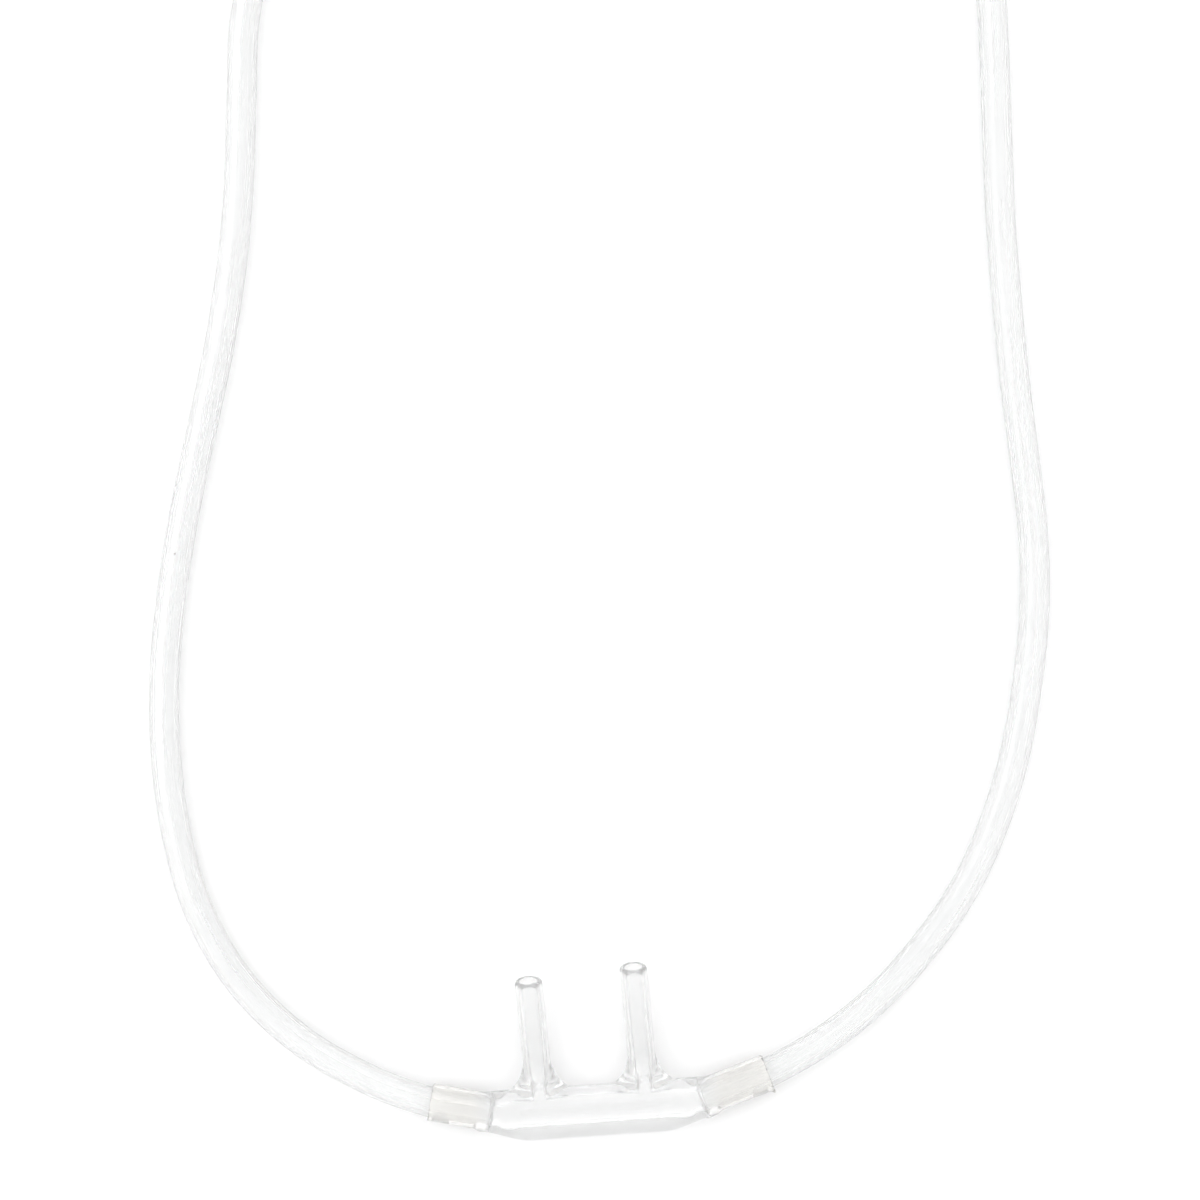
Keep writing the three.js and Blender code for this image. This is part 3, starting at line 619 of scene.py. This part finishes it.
def moulded_pvc(colour, nose_piece):
    """Soft clear PVC, injection moulded. It is nearly water clear with a wet gloss, and its flow
    marks bend what is seen through it. The nose piece turns faintly cream where the tubes are
    bonded in, and its tint there is also lighter, as painted light that offsets the shade of the
    sleeves' extra walls. Its prongs are the same plastic: their darker tint is painted shade that
    only makes up for this light, in which they came out brighter than in the photo"""
    material, tree = new_material("moulded soft PVC")
    where = add_node(tree, "ShaderNodeTexCoord")
    flow = add_node(
        tree, "ShaderNodeTexNoise", values={"Scale": 1 / (2.5 * MM), "Detail": 3, "Roughness": 0.5},
        links={"Vector": where.outputs["Object"]},
    )
    bump = add_node(
        tree, "ShaderNodeBump", values={"Strength": 0.35, "Distance": 0.05 * MM},
        links={"Height": flow.outputs["Fac"]},
    )
    apart = add_node(
        tree, "ShaderNodeSeparateXYZ", links={"Vector": where.outputs["Object"]},
    )
    outward = add_node(
        tree, "ShaderNodeMath", settings={"operation": "ABSOLUTE"}, links={0: apart.outputs["X"]},
    )
    # Painted shade: the prongs' colour is 8% darker to stand in for less light on them, though the
    # plastic is the same
    prong_painted_shade = add_node(
        tree, "ShaderNodeMapRange",
        settings={"interpolation_type": "SMOOTHSTEP"},
        values={"From Min": 3 * MM, "From Max": 8 * MM, "To Max": 1 if nose_piece else 0},
        links={"Value": apart.outputs["Y"]},
    )
    moulded = add_node(
        tree, "ShaderNodeMix", settings={"data_type": "RGBA"},
        values={6: (*colour, 1), 7: (*[c * 0.92 for c in colour], 1)},
        links={0: prong_painted_shade.outputs["Result"]},
    )
    # Faintly cream where the tubes are bonded in. The tint there is also lighter than the rest, as
    # painted light that offsets the shade of the sleeves' extra walls
    bonded = add_node(
        tree, "ShaderNodeMapRange",
        settings={"interpolation_type": "SMOOTHSTEP"},
        values={"From Min": 14 * MM, "From Max": 17 * MM, "To Max": 1 if nose_piece else 0},
        links={"Value": outward.outputs[0]},
    )
    tint = add_node(
        tree, "ShaderNodeMix", settings={"data_type": "RGBA"},
        values={7: linear("FFFEFC")},
        links={0: bonded.outputs["Result"], 6: moulded.outputs[2]},
    )
    haze = add_node(
        tree, "ShaderNodeMapRange", values={"To Min": 0.08, "To Max": 0.2},
        links={"Value": flow.outputs["Fac"]},
    )
    shader = add_node(
        tree, "ShaderNodeBsdfPrincipled",
        values={"IOR": 1.53, "Transmission Weight": 0.88},
        links={"Base Color": tint.outputs[2], "Roughness": haze.outputs["Result"],
               "Normal": bump.outputs["Normal"]},
    )
    finish_clear_material(tree, shader)
    return material


def extruded_pvc(colour):
    """Soft clear PVC tube, extruded. It is clear but slightly milky, and the die leaves fine
    streaks that run along it"""
    material, tree = new_material("extruded soft PVC")
    where = add_node(
        tree, "ShaderNodeAttribute", settings={"attribute_name": "straightened"},
    )
    drawn_out = add_node(
        tree, "ShaderNodeMapping",
        values={"Scale": (1 / (0.45 * MM), 1 / (0.45 * MM), 1 / (40 * MM))},
        links={"Vector": where.outputs["Vector"]},
    )
    streaks = add_node(
        tree, "ShaderNodeTexNoise", values={"Scale": 1.0, "Detail": 2, "Roughness": 0.55},
        links={"Vector": drawn_out.outputs["Vector"]},
    )
    bump = add_node(
        tree, "ShaderNodeBump", values={"Strength": 0.3, "Distance": 0.03 * MM},
        links={"Height": streaks.outputs["Fac"]},
    )
    haze = add_node(
        tree, "ShaderNodeMapRange", values={"To Min": 0.16, "To Max": 0.34},
        links={"Value": streaks.outputs["Fac"]},
    )
    ramp = add_node(
        tree, "ShaderNodeMix", settings={"data_type": "RGBA"},
        values={6: (*[c * 0.99 for c in colour], 1), 7: (*colour, 1)},
        links={0: streaks.outputs["Fac"]},
    )
    shader = add_node(
        tree, "ShaderNodeBsdfPrincipled",
        values={"IOR": 1.53, "Transmission Weight": 0.8},
        links={"Base Color": ramp.outputs[2], "Roughness": haze.outputs["Result"],
               "Normal": bump.outputs["Normal"]},
    )
    finish_clear_material(tree, shader)
    return material


def coated_wire(colour):
    """Soft iron wire in an extruded white PVC strip. It is opaque and satin, with a fine
    grain pressed along it"""
    material, tree = new_material("plastic coated wire")
    where = add_node(tree, "ShaderNodeTexCoord")
    grain = add_node(
        tree, "ShaderNodeTexNoise", values={"Scale": 1 / (0.4 * MM), "Detail": 4},
        links={"Vector": where.outputs["Object"]},
    )
    bump = add_node(
        tree, "ShaderNodeBump", values={"Strength": 0.25, "Distance": 0.05 * MM},
        links={"Height": grain.outputs["Fac"]},
    )
    haze = add_node(
        tree, "ShaderNodeMapRange", values={"To Min": 0.38, "To Max": 0.58},
        links={"Value": grain.outputs["Fac"]},
    )
    shader = add_node(
        tree, "ShaderNodeBsdfPrincipled",
        values={"Base Color": (*colour, 1), "IOR": 1.54},
        links={"Roughness": haze.outputs["Result"], "Normal": bump.outputs["Normal"]},
    )
    finish_material(tree, shader)
    return material


def dark_fleck():
    """A burnt grain of PVC in the tube's wall: matt and nearly black"""
    material, tree = new_material("burnt PVC fleck")
    where = add_node(tree, "ShaderNodeTexCoord")
    char = add_node(
        tree, "ShaderNodeTexNoise", values={"Scale": 1 / (0.1 * MM)},
        links={"Vector": where.outputs["Object"]},
    )
    shade = add_node(
        tree, "ShaderNodeMix", settings={"data_type": "RGBA"},
        values={6: linear("2A2119"), 7: linear("4A3A2C")}, links={0: char.outputs["Fac"]},
    )
    shader = add_node(
        tree, "ShaderNodeBsdfPrincipled", values={"Roughness": 0.7},
        links={"Base Color": shade.outputs[2]},
    )
    finish_material(tree, shader)
    return material


def painted_board(colour):
    """The studio floor: matt painted board, with a faint unevenness in its paint"""
    material, tree = new_material("matt painted board")
    where = add_node(tree, "ShaderNodeTexCoord")
    roll = add_node(
        tree, "ShaderNodeTexNoise", values={"Scale": 1 / (3 * MM), "Detail": 3},
        links={"Vector": where.outputs["Object"]},
    )
    haze = add_node(
        tree, "ShaderNodeMapRange", values={"To Min": 0.75, "To Max": 0.9},
        links={"Value": roll.outputs["Fac"]},
    )
    shader = add_node(
        tree, "ShaderNodeBsdfPrincipled",
        values={"Base Color": (*colour, 1), "Specular IOR Level": 0.1},
        links={"Roughness": haze.outputs["Result"]},
    )
    finish_material(tree, shader)
    return material


# Nose piece, in millimetres

def nose_body():
    rings = []
    steps = 64
    for step in range(steps + 1):
        along = 2 * step / steps - 1
        ends = (abs(along) - BODY_FLAT_SHARE) / (1 - BODY_FLAT_SHARE)
        belly = ease(BODY_BELLY, BODY_END_DROP, ends)
        middle = (BODY_TOP - belly) / 2
        half_height = (BODY_TOP + belly) / 2
        half_depth = ease(BODY_MID_Z + BODY_CROWN, BODY_END_DEPTH / 2, ends)

        def place(u, v):
            out = squared(u, v, BODY_SQUARENESS)
            z = BODY_MID_Z + u * out * half_depth
            return Vector((
                along * BODY_LENGTH / 2,
                middle + v * out * half_height,
                min(max(z, 0), BODY_DEPTH),
            ))

        rings.append(circle(96, place))
    return loft(rings)


def nose_chamber():
    half_height = (CHAMBER_TOP + CHAMBER_BOTTOM) / 2
    rings = []
    steps = 40
    for step in range(steps + 1):
        along = math.sin((step / steps - 0.5) * math.pi)
        rounded = max(1 - abs(along) ** CHAMBER_BLUNTNESS, 0) ** (1 / CHAMBER_SQUARENESS)
        share = CHAMBER_END_SHARE + (1 - CHAMBER_END_SHARE) * rounded

        def place(u, v):
            out = squared(u, v, CHAMBER_SQUARENESS) * share
            return Vector((
                along * CHAMBER_LENGTH / 2,
                CHAMBER_MID_Y + v * out * half_height,
                BODY_MID_Z + u * out * CHAMBER_DEPTH / 2,
            ))

        rings.append(circle(64, place))
    return loft(rings)


def prong_length(side):
    return PRONG_LENGTH + side * PRONG_LENGTH_UNEVEN


def on_prong(side, s, across, deep):
    """A point on the prong's section at s along its curve, which curls up towards the tip"""
    arc_radius = prong_length(side) / PRONG_CURL
    turned = s / arc_radius
    y = arc_radius * math.sin(turned)
    z = BODY_MID_Z + arc_radius * (1 - math.cos(turned))
    x = PRONG_SHIFT + side * PRONG_PITCH / 2 - y * math.tan(PRONG_LEAN)
    return Vector((x + across, y - deep * math.sin(turned), z + deep * math.cos(turned)))


def prong(side, tip_radius):
    """A prong that flares out of the body's top edge and ends in a rounded lip"""
    length = prong_length(side)
    stations = [(0, 1, 0)]
    for i in range(17):
        angle = math.pi / 2 * i / 16
        s = BODY_TOP - GAP + FLARE_HEIGHT * (1 - math.cos(angle))
        stations.append((s, 1 - math.sin(angle), 0))
    shaft_start = stations[-1][0]
    tip_start = length - PRONG_TIP_ROUND
    for i in range(1, 24):
        stations.append((shaft_start + (tip_start - shaft_start) * i / 24, 0, 0))
    for i in range(9):
        angle = math.pi / 2 * i / 8
        s = tip_start + PRONG_TIP_ROUND * math.sin(angle)
        stations.append((s, 0, PRONG_TIP_ROUND * (1 - math.cos(angle))))
    rings = []
    for s, spread, trim in stations:
        radius = tip_radius - trim
        rings.append(circle(48, lambda u, v: on_prong(
            side, s, u * (radius + FLARE_REACH * spread), v * (radius + FLARE_SWELL * spread),
        )))
    return loft(rings)


def prong_bore(side, radius):
    """The opening through a prong, with a slightly opened mouth"""
    length = prong_length(side)
    rings = []
    for i in range(31):
        s = (length + 1) * i / 30
        opened = radius + ease(0, 0.28, (s - length + 0.9) / 0.9)
        rings.append(circle(40, lambda u, v: on_prong(side, s, u * opened, v * opened)))
    return loft(rings)


def soften(made, rounds, where):
    """Smooths the points of a piece that lie where a test of their place in millimetres says"""
    shape = bmesh.new()
    shape.from_mesh(made.data)
    verts = [v for v in shape.verts if where(v.co / MM)]
    for _ in range(rounds):
        bmesh.ops.smooth_vert(
            shape, verts=verts, factor=0.5, use_axis_x=True, use_axis_y=True, use_axis_z=True,
        )
    shape.to_mesh(made.data)
    shape.free()


def build_nose_piece(sizes, tubes, fit):
    """The nose piece as one skin: its outside shapes are joined, its openings are cut, and the
    whole is meshed anew and smoothed, so that its parts run into each other as moulded"""
    made = piece("soft_nose_piece", nose_body())
    outside = []
    inside = [nose_chamber()]
    chamber_end = CHAMBER_LENGTH / 2 - 1
    for side in (-1, 1):
        mouth = sleeve_length(side)
        outside.append(prong(side, sizes.prong_tip / 2 / MM))
        sleeve_root = sleeve_at(side, -SLEEVE_INSIDE)
        outside.append(bar(sleeve_root, sleeve_at(side, mouth), sizes.sleeve / 2 / MM))
        inside.append(prong_bore(side, sizes.prong_bore / 2 / MM))
        socket_floor = sleeve_at(side, -SOCKET_PAST_ROOT)
        past_mouth = sleeve_at(side, mouth + 1)
        inside.append(bar(socket_floor, past_mouth, tubes.ear_diameter / 2 / MM + fit))
        passage_start = Vector((side * chamber_end, CHAMBER_MID_Y, BODY_MID_Z))
        passage_end = sleeve_at(side, GAP - SOCKET_PAST_ROOT)
        inside.append(bar(passage_start, passage_end, tubes.ear_lumen / 2 / MM))
    for start, end, radius in FLASH_NUBS:
        outside.append(bar(Vector(start), Vector(end), radius, radius * 0.7, 16))
    combine(made, "UNION", outside)
    combine(made, "DIFFERENCE", inside)
    remesh = made.modifiers.new("mesh anew", "REMESH")
    remesh.mode = "VOXEL"
    remesh.voxel_size = sizes.detail
    settle(made)

    def is_body(at):
        return abs(at.x) < SOFTENED_BODY[0] and at.y < SOFTENED_BODY[1]

    soften(made, BODY_SOFTENING, is_body)
    soften(made, SKIN_SOFTENING, lambda at: True)
    return made


# Fittings, in millimetres

def rounded_ends(length, radius, steps=6):
    """Stations along a length, each with how far its ring is drawn in to round the two ends"""
    stations = []
    for i in range(steps + 1):
        angle = math.pi / 2 * i / steps
        stations.append((radius * (1 - math.cos(angle)), radius * (1 - math.sin(angle))))
    inner = [length * i / 24 for i in range(1, 24)]
    stations += [(s, 0) for s in inner if radius < s < length - radius]
    return stations + [(length - s, inset) for s, inset in reversed(stations[:steps + 1])]


def build_slider(fit):
    """A flat clear sleeve with two openings side by side"""
    half_height = EAR_R + SLIDER_WALL
    rings = []
    for s, inset in rounded_ends(SLIDER_LENGTH, 0.5):
        waist = 0.12 * math.sin(math.pi * s / SLIDER_LENGTH) ** 2
        radius = half_height - inset - waist
        rings.append(circle(72, lambda u, v: Vector((
            NECK_X + math.copysign(HALF_PAIR, u) + u * radius,
            SLIDER_START_Y + s,
            SLIDER_Z + v * radius,
        ))))
    made = piece("clear_slider", loft(rings))
    openings = []
    for side in (-1, 1):
        x = NECK_X + side * HALF_PAIR
        start = Vector((x, SLIDER_START_Y - 1, SLIDER_Z))
        end = Vector((x, SLIDER_START_Y + SLIDER_LENGTH + 1, SLIDER_Z))
        openings.append(bar(start, end, EAR_R + fit))
    return combine(made, "DIFFERENCE", openings)


def build_y_connector(fit):
    """A flat mouth with two sockets that runs into a round outlet with one"""
    mouth_half_height = EAR_R + TUBE_FIT + Y_WALL
    mouth_half_width = mouth_half_height + HALF_PAIR

    def at(x, y, z=0):
        return Y_MOUTH + OUTWARD * x + LEAVING * y + UP * z

    rings = []
    for s, inset in rounded_ends(Y_LENGTH, 0.45):
        share = (s / Y_LENGTH - 0.35) / 0.35
        half_width = ease(mouth_half_width, Y_OUTLET_R, share) - inset
        half_height = ease(mouth_half_height, Y_OUTLET_R, share) - inset
        power = ease(2.8, 2, share)

        def place(u, v):
            out = squared(u, v, power)
            return at(u * out * half_width, s, v * out * half_height)

        rings.append(circle(80, place))
    made = piece("clear_y_connector", loft(rings))
    outlet_floor = Y_LENGTH - Y_SOCKET
    cuts = [bar(at(0, outlet_floor), at(0, Y_LENGTH + 1), SUPPLY_R + fit)]
    for side in (-1, 1):
        x = side * HALF_PAIR
        cuts.append(bar(at(x, -1), at(x, Y_SOCKET), EAR_R + fit))
        cuts.append(bar(at(x, Y_SOCKET - GAP), at(x / 3, outlet_floor + GAP), 1.35))
    return combine(made, "DIFFERENCE", cuts)


def build_funnel(grip_radius, ribs, fit):
    """The funnel connector: a neck that takes the tube, a shoulder, and a ribbed grip whose wide
    mouth goes on an oxygen outlet. Its rings run out over the wall and back through the bore"""
    length, neck, grip_start = 38.0, 13.0, 17.0
    lip = 0.4
    outside = [(0.0, 3.85), (0.1, 4.05), (0.35, 4.2)]
    outside += [(0.35 + (neck - 0.35) * i / 10, 4.2) for i in range(1, 11)]
    outside += [
        (neck + (grip_start - neck) * i / 12, ease(4.2, grip_radius, i / 12)) for i in range(1, 13)
    ]
    body = length - lip - grip_start
    outside += [
        (grip_start + body * i / 56, grip_radius + 0.4 * i / 56) for i in range(1, 57)
    ]
    outside += [(length - 0.15, 6.1), (length, 5.85)]
    inside = [
        (length, 4.2), (length - 0.15, 3.95), (length - 0.5, 3.8),
        (28.0, 3.4), (19.2, 3.02), (19.0, 2.9), (18.8, 1.95), (18.6, 1.9), (12.4, 1.9),
        (12.1, 1.95),
        (12.0, 2.1), (12.0, SUPPLY_R + fit - 0.1), (11.9, SUPPLY_R + fit), (6.0, SUPPLY_R + fit),
        (0.4, SUPPLY_R + fit), (0.0, SUPPLY_R + fit + 0.2),
    ]

    def ring(s, radius, ribbed):
        window = min(ease(0, 1, s - 18.6), ease(1, 0, s - 33.6)) if ribbed else 0

        def place(u, v):
            angle = math.atan2(u, v) % (TAU / ribs) - TAU / ribs / 2
            off = min(abs(angle) * radius / 0.85, 1)
            out = radius + 0.5 * window * (0.5 + 0.5 * math.cos(math.pi * off))
            return Vector((FUNNEL_X - s, FUNNEL_Y + u * out, FUNNEL_Z + v * out))

        return circle(200, place)

    rings = [ring(s, radius, True) for s, radius in outside]
    rings += [ring(s, radius, False) for s, radius in inside]
    return piece("ribbed_funnel", loft(rings, closed=True))


# Ties, in millimetres

def grown(outline, distance):
    """The corners of a convex outline whose sides lie a distance further out"""
    corners = []
    for before, at, after in zip([outline[-1]] + outline, outline, outline[1:] + outline[:1]):
        first = (at - before).normalized()
        second = (after - at).normalized()
        outward = Vector((first.y, -first.x)) + Vector((second.y, -second.x))
        corners.append(at + outward * distance / (outward.length_squared / 2))
    return corners


def rounded_path(corners, cut, steps=5):
    """A path along corners, each of which is cut by a small curve"""
    path = [corners[0]]
    for before, at, after in zip(corners, corners[1:], corners[2:]):
        near = at + (before - at).normalized() * min(cut, (before - at).length / 2)
        far = at + (after - at).normalized() * min(cut, (after - at).length / 2)
        for i in range(steps + 1):
            t = i / steps
            path.append(near * (1 - t) ** 2 + at * 2 * t * (1 - t) + far * t ** 2)
    return path + [corners[-1]]


def build_tie(number, angle, width):
    """A flat strip with a wire in its middle, bent round the coil and the pair of over-ear
    tubes. Its two ends are twisted together in the coil's hole"""
    top = LIFT + COIL_HEIGHT + sum(crossing_rises(math.degrees(angle)))
    clip = SUPPLY_R * (2 - math.sqrt(2))
    ear_clip = EAR_R * (2 - math.sqrt(2))
    pair_out = WRAP_R + HALF_PAIR + EAR_R
    held = [Vector(corner) for corner in (
        (COIL_INNER_R, LIFT + clip), (COIL_INNER_R + clip, LIFT), (pair_out - ear_clip, LIFT),
        (pair_out, LIFT + ear_clip), (pair_out, LIFT + 2 * EAR_R - ear_clip),
        (COIL_OUTER_R, top - clip), (COIL_OUTER_R - clip, top), (COIL_INNER_R + clip, top),
        (COIL_INNER_R, top - clip),
    )]
    loop = grown(held, 0.5)
    middle = (loop[0].y + loop[-1].y) / 2
    inner = loop[0].x
    apart = 0.42
    twist_start = inner - 1.6
    ends = [
        Vector((twist_start, middle - apart)), Vector((inner, middle - apart)),
    ]
    corners = [*ends, *loop, Vector((inner, middle + apart)), Vector((twist_start, middle + apart))]
    path = rounded_path(corners, 1.0)
    out = Vector((math.cos(angle), math.sin(angle), 0))
    round_coil = Vector((-out.y, out.x, 0))
    axis = Vector((COIL_X, COIL_Y, 0))
    stations = []
    for i, at in enumerate(path):
        along = (path[min(i + 1, len(path) - 1)] - path[max(i - 1, 0)]).normalized()
        normal = out * along.y - UP * along.x
        stations.append((axis + out * at.x + UP * at.y, round_coil, normal))
    before, after = [], []
    turns, reach, steps = 2.5, 9.0, 60
    for i in range(1, steps + 1):
        q = i / steps
        at = axis + out * (twist_start - reach * q) + UP * middle
        for bucket, start, flip in ((before, -math.pi / 2, 1), (after, math.pi / 2, -1)):
            phi = start + TAU * turns * q
            normal = round_coil * math.cos(phi) + UP * math.sin(phi)
            across = (round_coil * -math.sin(phi) + UP * math.cos(phi)) * flip
            bucket.append((at + normal * apart, across, normal))
    stations = before[::-1] + stations + after
    half = width / 2 / MM
    profile = (
        (-half, -0.14), (-0.55, -0.18), (-0.3, -0.36), (0.3, -0.36), (0.55, -0.18), (half, -0.14),
        (half, 0.14), (0.55, 0.18), (0.3, 0.36), (-0.3, 0.36), (-0.55, 0.18), (-half, 0.14),
    )
    rings = [
        [at + across * w + normal * h for w, h in profile] for at, across, normal in stations
    ]
    return piece(f"twist_tie_{number}", loft(rings))


# Operators

def settings():
    return bpy.context.scene.cannula


def shared(make, *values):
    """A material that several pieces have, made once"""
    key = make.__name__
    if key not in MADE:
        MADE[key] = make(*values)
    return MADE[key]


MADE = {}


class BuildNosePiece(bpy.types.Operator):
    """Build the moulded nose piece with its two prongs and its two sleeves"""

    bl_idname = "cannula.nose_piece"
    bl_label = "Nose piece"

    def execute(self, context):
        chosen = settings()
        made = build_nose_piece(chosen.nose_piece, chosen.tubes, chosen.fittings.tube_fit / MM)
        clear = moulded_pvc(chosen.nose_piece.colour, nose_piece=True)
        finish_piece(made, clear, ["nose_piece"])
        return {"FINISHED"}


class BuildFittings(bpy.types.Operator):
    """Build the slider, the Y connector and the funnel connector"""

    bl_idname = "cannula.fittings"
    bl_label = "Fittings"

    def execute(self, context):
        chosen = settings()
        clear = moulded_pvc(chosen.nose_piece.colour, nose_piece=False)
        fit = chosen.fittings.tube_fit / MM
        slider = build_slider(fit)
        finish_piece(slider, clear, ["slider"], body="slider")
        connector = build_y_connector(fit)
        finish_piece(connector, clear, ["y_connector"])
        funnel = build_funnel(chosen.fittings.grip / 2 / MM, chosen.fittings.ribs, fit)
        finish_piece(funnel, clear, ["funnel_connector"])
        return {"FINISHED"}


class BuildTies(bpy.types.Operator):
    """Bend the two twist ties round the coil and the pair of over-ear tubes"""

    bl_idname = "cannula.ties"
    bl_label = "Twist ties"

    def execute(self, context):
        chosen = settings().ties
        coat = shared(coated_wire, chosen.colour)
        for i, angle in enumerate(TIE_ANGLES):
            made = build_tie(i + 1, angle, chosen.width)
            finish_piece(made, coat, [f"tie_{i + 1}"])
        return {"FINISHED"}


class BuildEarTubes(bpy.types.Operator):
    """Lay the two over-ear tubes from the nose piece to the Y connector"""

    bl_idname = "cannula.ear_tubes"
    bl_label = "Over-ear tubes"

    def execute(self, context):
        tubes = settings().tubes
        clear = shared(extruded_pvc, tubes.colour)
        for side, word, free_stretch in ((-1, "left", LEFT_ROUTE), (1, "right", RIGHT_ROUTE)):
            curve = smooth_curve(ear_tube_route(side, free_stretch), 1.0)
            made = hollow_tube(
                f"{word}_over_ear_tube", curve,
                tubes.ear_diameter / MM, tubes.ear_lumen / MM, 32,
            )
            finish_piece(made, clear, [f"{word}_ear_tube"])
            length_of(curve) * MM
        shape = bmesh.new()
        bmesh.ops.create_icosphere(shape, subdivisions=2, radius=1.0)
        bmesh.ops.scale(shape, vec=(0.16, 0.1, 0.07), verts=shape.verts)
        bmesh.ops.translate(shape, vec=FLECK_AT, verts=shape.verts)
        fleck = piece("fleck_in_left_tube", shape)
        finish_piece(fleck, dark_fleck(), None)
        return {"FINISHED"}


class BuildSupplyTube(bpy.types.Operator):
    """Lay the supply tube from the Y connector through its coil to the funnel connector"""

    bl_idname = "cannula.supply_tube"
    bl_label = "Supply tube"

    def execute(self, context):
        tubes = settings().tubes
        lead, touch = supply_lead_route()
        curve = smooth_curve(lead + coil_route(touch), 2.0)
        made = hollow_tube(
            "supply_tube", curve, tubes.supply_diameter / MM, tubes.supply_lumen / MM, 28,
        )
        clear = shared(extruded_pvc, tubes.colour)
        nodes = ["supply_tube_lead", "supply_tube_coil", "supply_tube_tail"]
        finish_piece(made, clear, nodes)
        length_of(curve) * MM
        return {"FINISHED"}


class BuildStage(bpy.types.Operator):
    """Set up the camera straight above, the floor, the even sky and the soft lights"""

    bl_idname = "cannula.stage"
    bl_label = "Stage"

    def execute(self, context):
        scene = context.scene
        chosen = settings().stage
        lens = bpy.data.cameras.new("camera")
        lens.lens = 100
        lens.sensor_width = 36
        lens.clip_start = 0.01
        camera = bpy.data.objects.new("camera", lens)
        view_width = 0.16
        height = view_width * lens.lens / lens.sensor_width
        camera.location = (0.00513, 0.06767, 0.0025 + height)
        camera.rotation_euler = (0, 0, math.radians(-4))
        scene.collection.objects.link(camera)
        scene.camera = camera

        shape = bmesh.new()
        bmesh.ops.create_grid(shape, x_segments=4, y_segments=4, size=2.0)
        floor = piece("floor", shape, scale=1)
        floor.data.materials.append(painted_board(chosen.floor))

        for name, at, size, power in (
            ("softbox left", (-0.75, 0.25, 0.9), 0.7, 2.5),
            ("softbox back", (0.35, 0.95, 1.0), 0.8, 2.0),
        ):
            light = bpy.data.lights.new(name, "AREA")
            light.shape = "SQUARE"
            light.size = size
            light.energy = power
            lamp = bpy.data.objects.new(name, light)
            lamp.location = at
            aim = Vector((0, 0.08, 0)) - Vector(at)
            lamp.rotation_euler = aim.to_track_quat("-Z", "Y").to_euler()
            scene.collection.objects.link(lamp)

        world = bpy.data.worlds.new("even sky")
        world.use_nodes = True
        tree = world.node_tree
        tree.nodes.clear()
        where = add_node(tree, "ShaderNodeTexCoord")
        apart = add_node(
            tree, "ShaderNodeSeparateXYZ", links={"Vector": where.outputs["Generated"]},
        )
        height = add_node(
            tree, "ShaderNodeMapRange", settings={"interpolation_type": "SMOOTHSTEP"},
            values={"From Min": -0.05, "From Max": 0.8, "To Min": 0.74, "To Max": 1.0},
            links={"Value": apart.outputs["Z"]},
        )
        strength = add_node(
            tree, "ShaderNodeMath", settings={"operation": "MULTIPLY"}, values={1: chosen.sky},
            links={0: height.outputs["Result"]},
        )
        sky = add_node(
            tree, "ShaderNodeBackground", values={"Color": (1, 1, 1, 1)},
            links={"Strength": strength.outputs[0]},
        )
        add_node(tree, "ShaderNodeOutputWorld", links={"Surface": sky.outputs["Background"]})
        scene.world = world
        scene.view_settings.view_transform = "Standard"
        scene.cycles.max_bounces = 40
        scene.cycles.transmission_bounces = 40
        scene.cycles.transparent_max_bounces = 40
        scene.cycles.glossy_bounces = 12
        scene.cycles.diffuse_bounces = 6
        return {"FINISHED"}


class CannulaPanel(bpy.types.Panel):
    """The cannula's sizes, colours and pieces"""

    bl_idname = "VIEW3D_PT_cannula"
    bl_label = "Nasal cannula"
    bl_space_type = "VIEW_3D"
    bl_region_type = "UI"
    bl_category = "Cannula"

    def draw(self, context):
        chosen = settings()
        for group in (chosen.nose_piece, chosen.tubes, chosen.fittings, chosen.ties, chosen.stage):
            box = self.layout.box()
            for name in group.__annotations__:
                box.prop(group, name)
        for operator in OPERATORS:
            self.layout.operator(operator.bl_idname)


class CannulaSettings(bpy.types.PropertyGroup):
    nose_piece: PointerProperty(type=NosePieceSettings)
    tubes: PointerProperty(type=TubeSettings)
    fittings: PointerProperty(type=FittingSettings)
    ties: PointerProperty(type=TieSettings)
    stage: PointerProperty(type=StageSettings)


OPERATORS = (
    BuildStage,
    BuildNosePiece,
    BuildFittings,
    BuildTies,
    BuildEarTubes,
    BuildSupplyTube,
)
CLASSES = (
    NosePieceSettings,
    TubeSettings,
    FittingSettings,
    TieSettings,
    StageSettings,
    CannulaSettings,
    *OPERATORS,
    CannulaPanel,
)


def register():
    for item in CLASSES:
        bpy.utils.register_class(item)
    bpy.types.Scene.cannula = PointerProperty(type=CannulaSettings)


def unregister():
    del bpy.types.Scene.cannula
    for item in reversed(CLASSES):
        bpy.utils.unregister_class(item)


def main():
    register()
    bpy.ops.cannula.stage()
    bpy.ops.cannula.nose_piece()
    bpy.ops.cannula.fittings()
    bpy.ops.cannula.ties()
    bpy.ops.cannula.ear_tubes()
    bpy.ops.cannula.supply_tube()


if __name__ == "__main__":
    main()
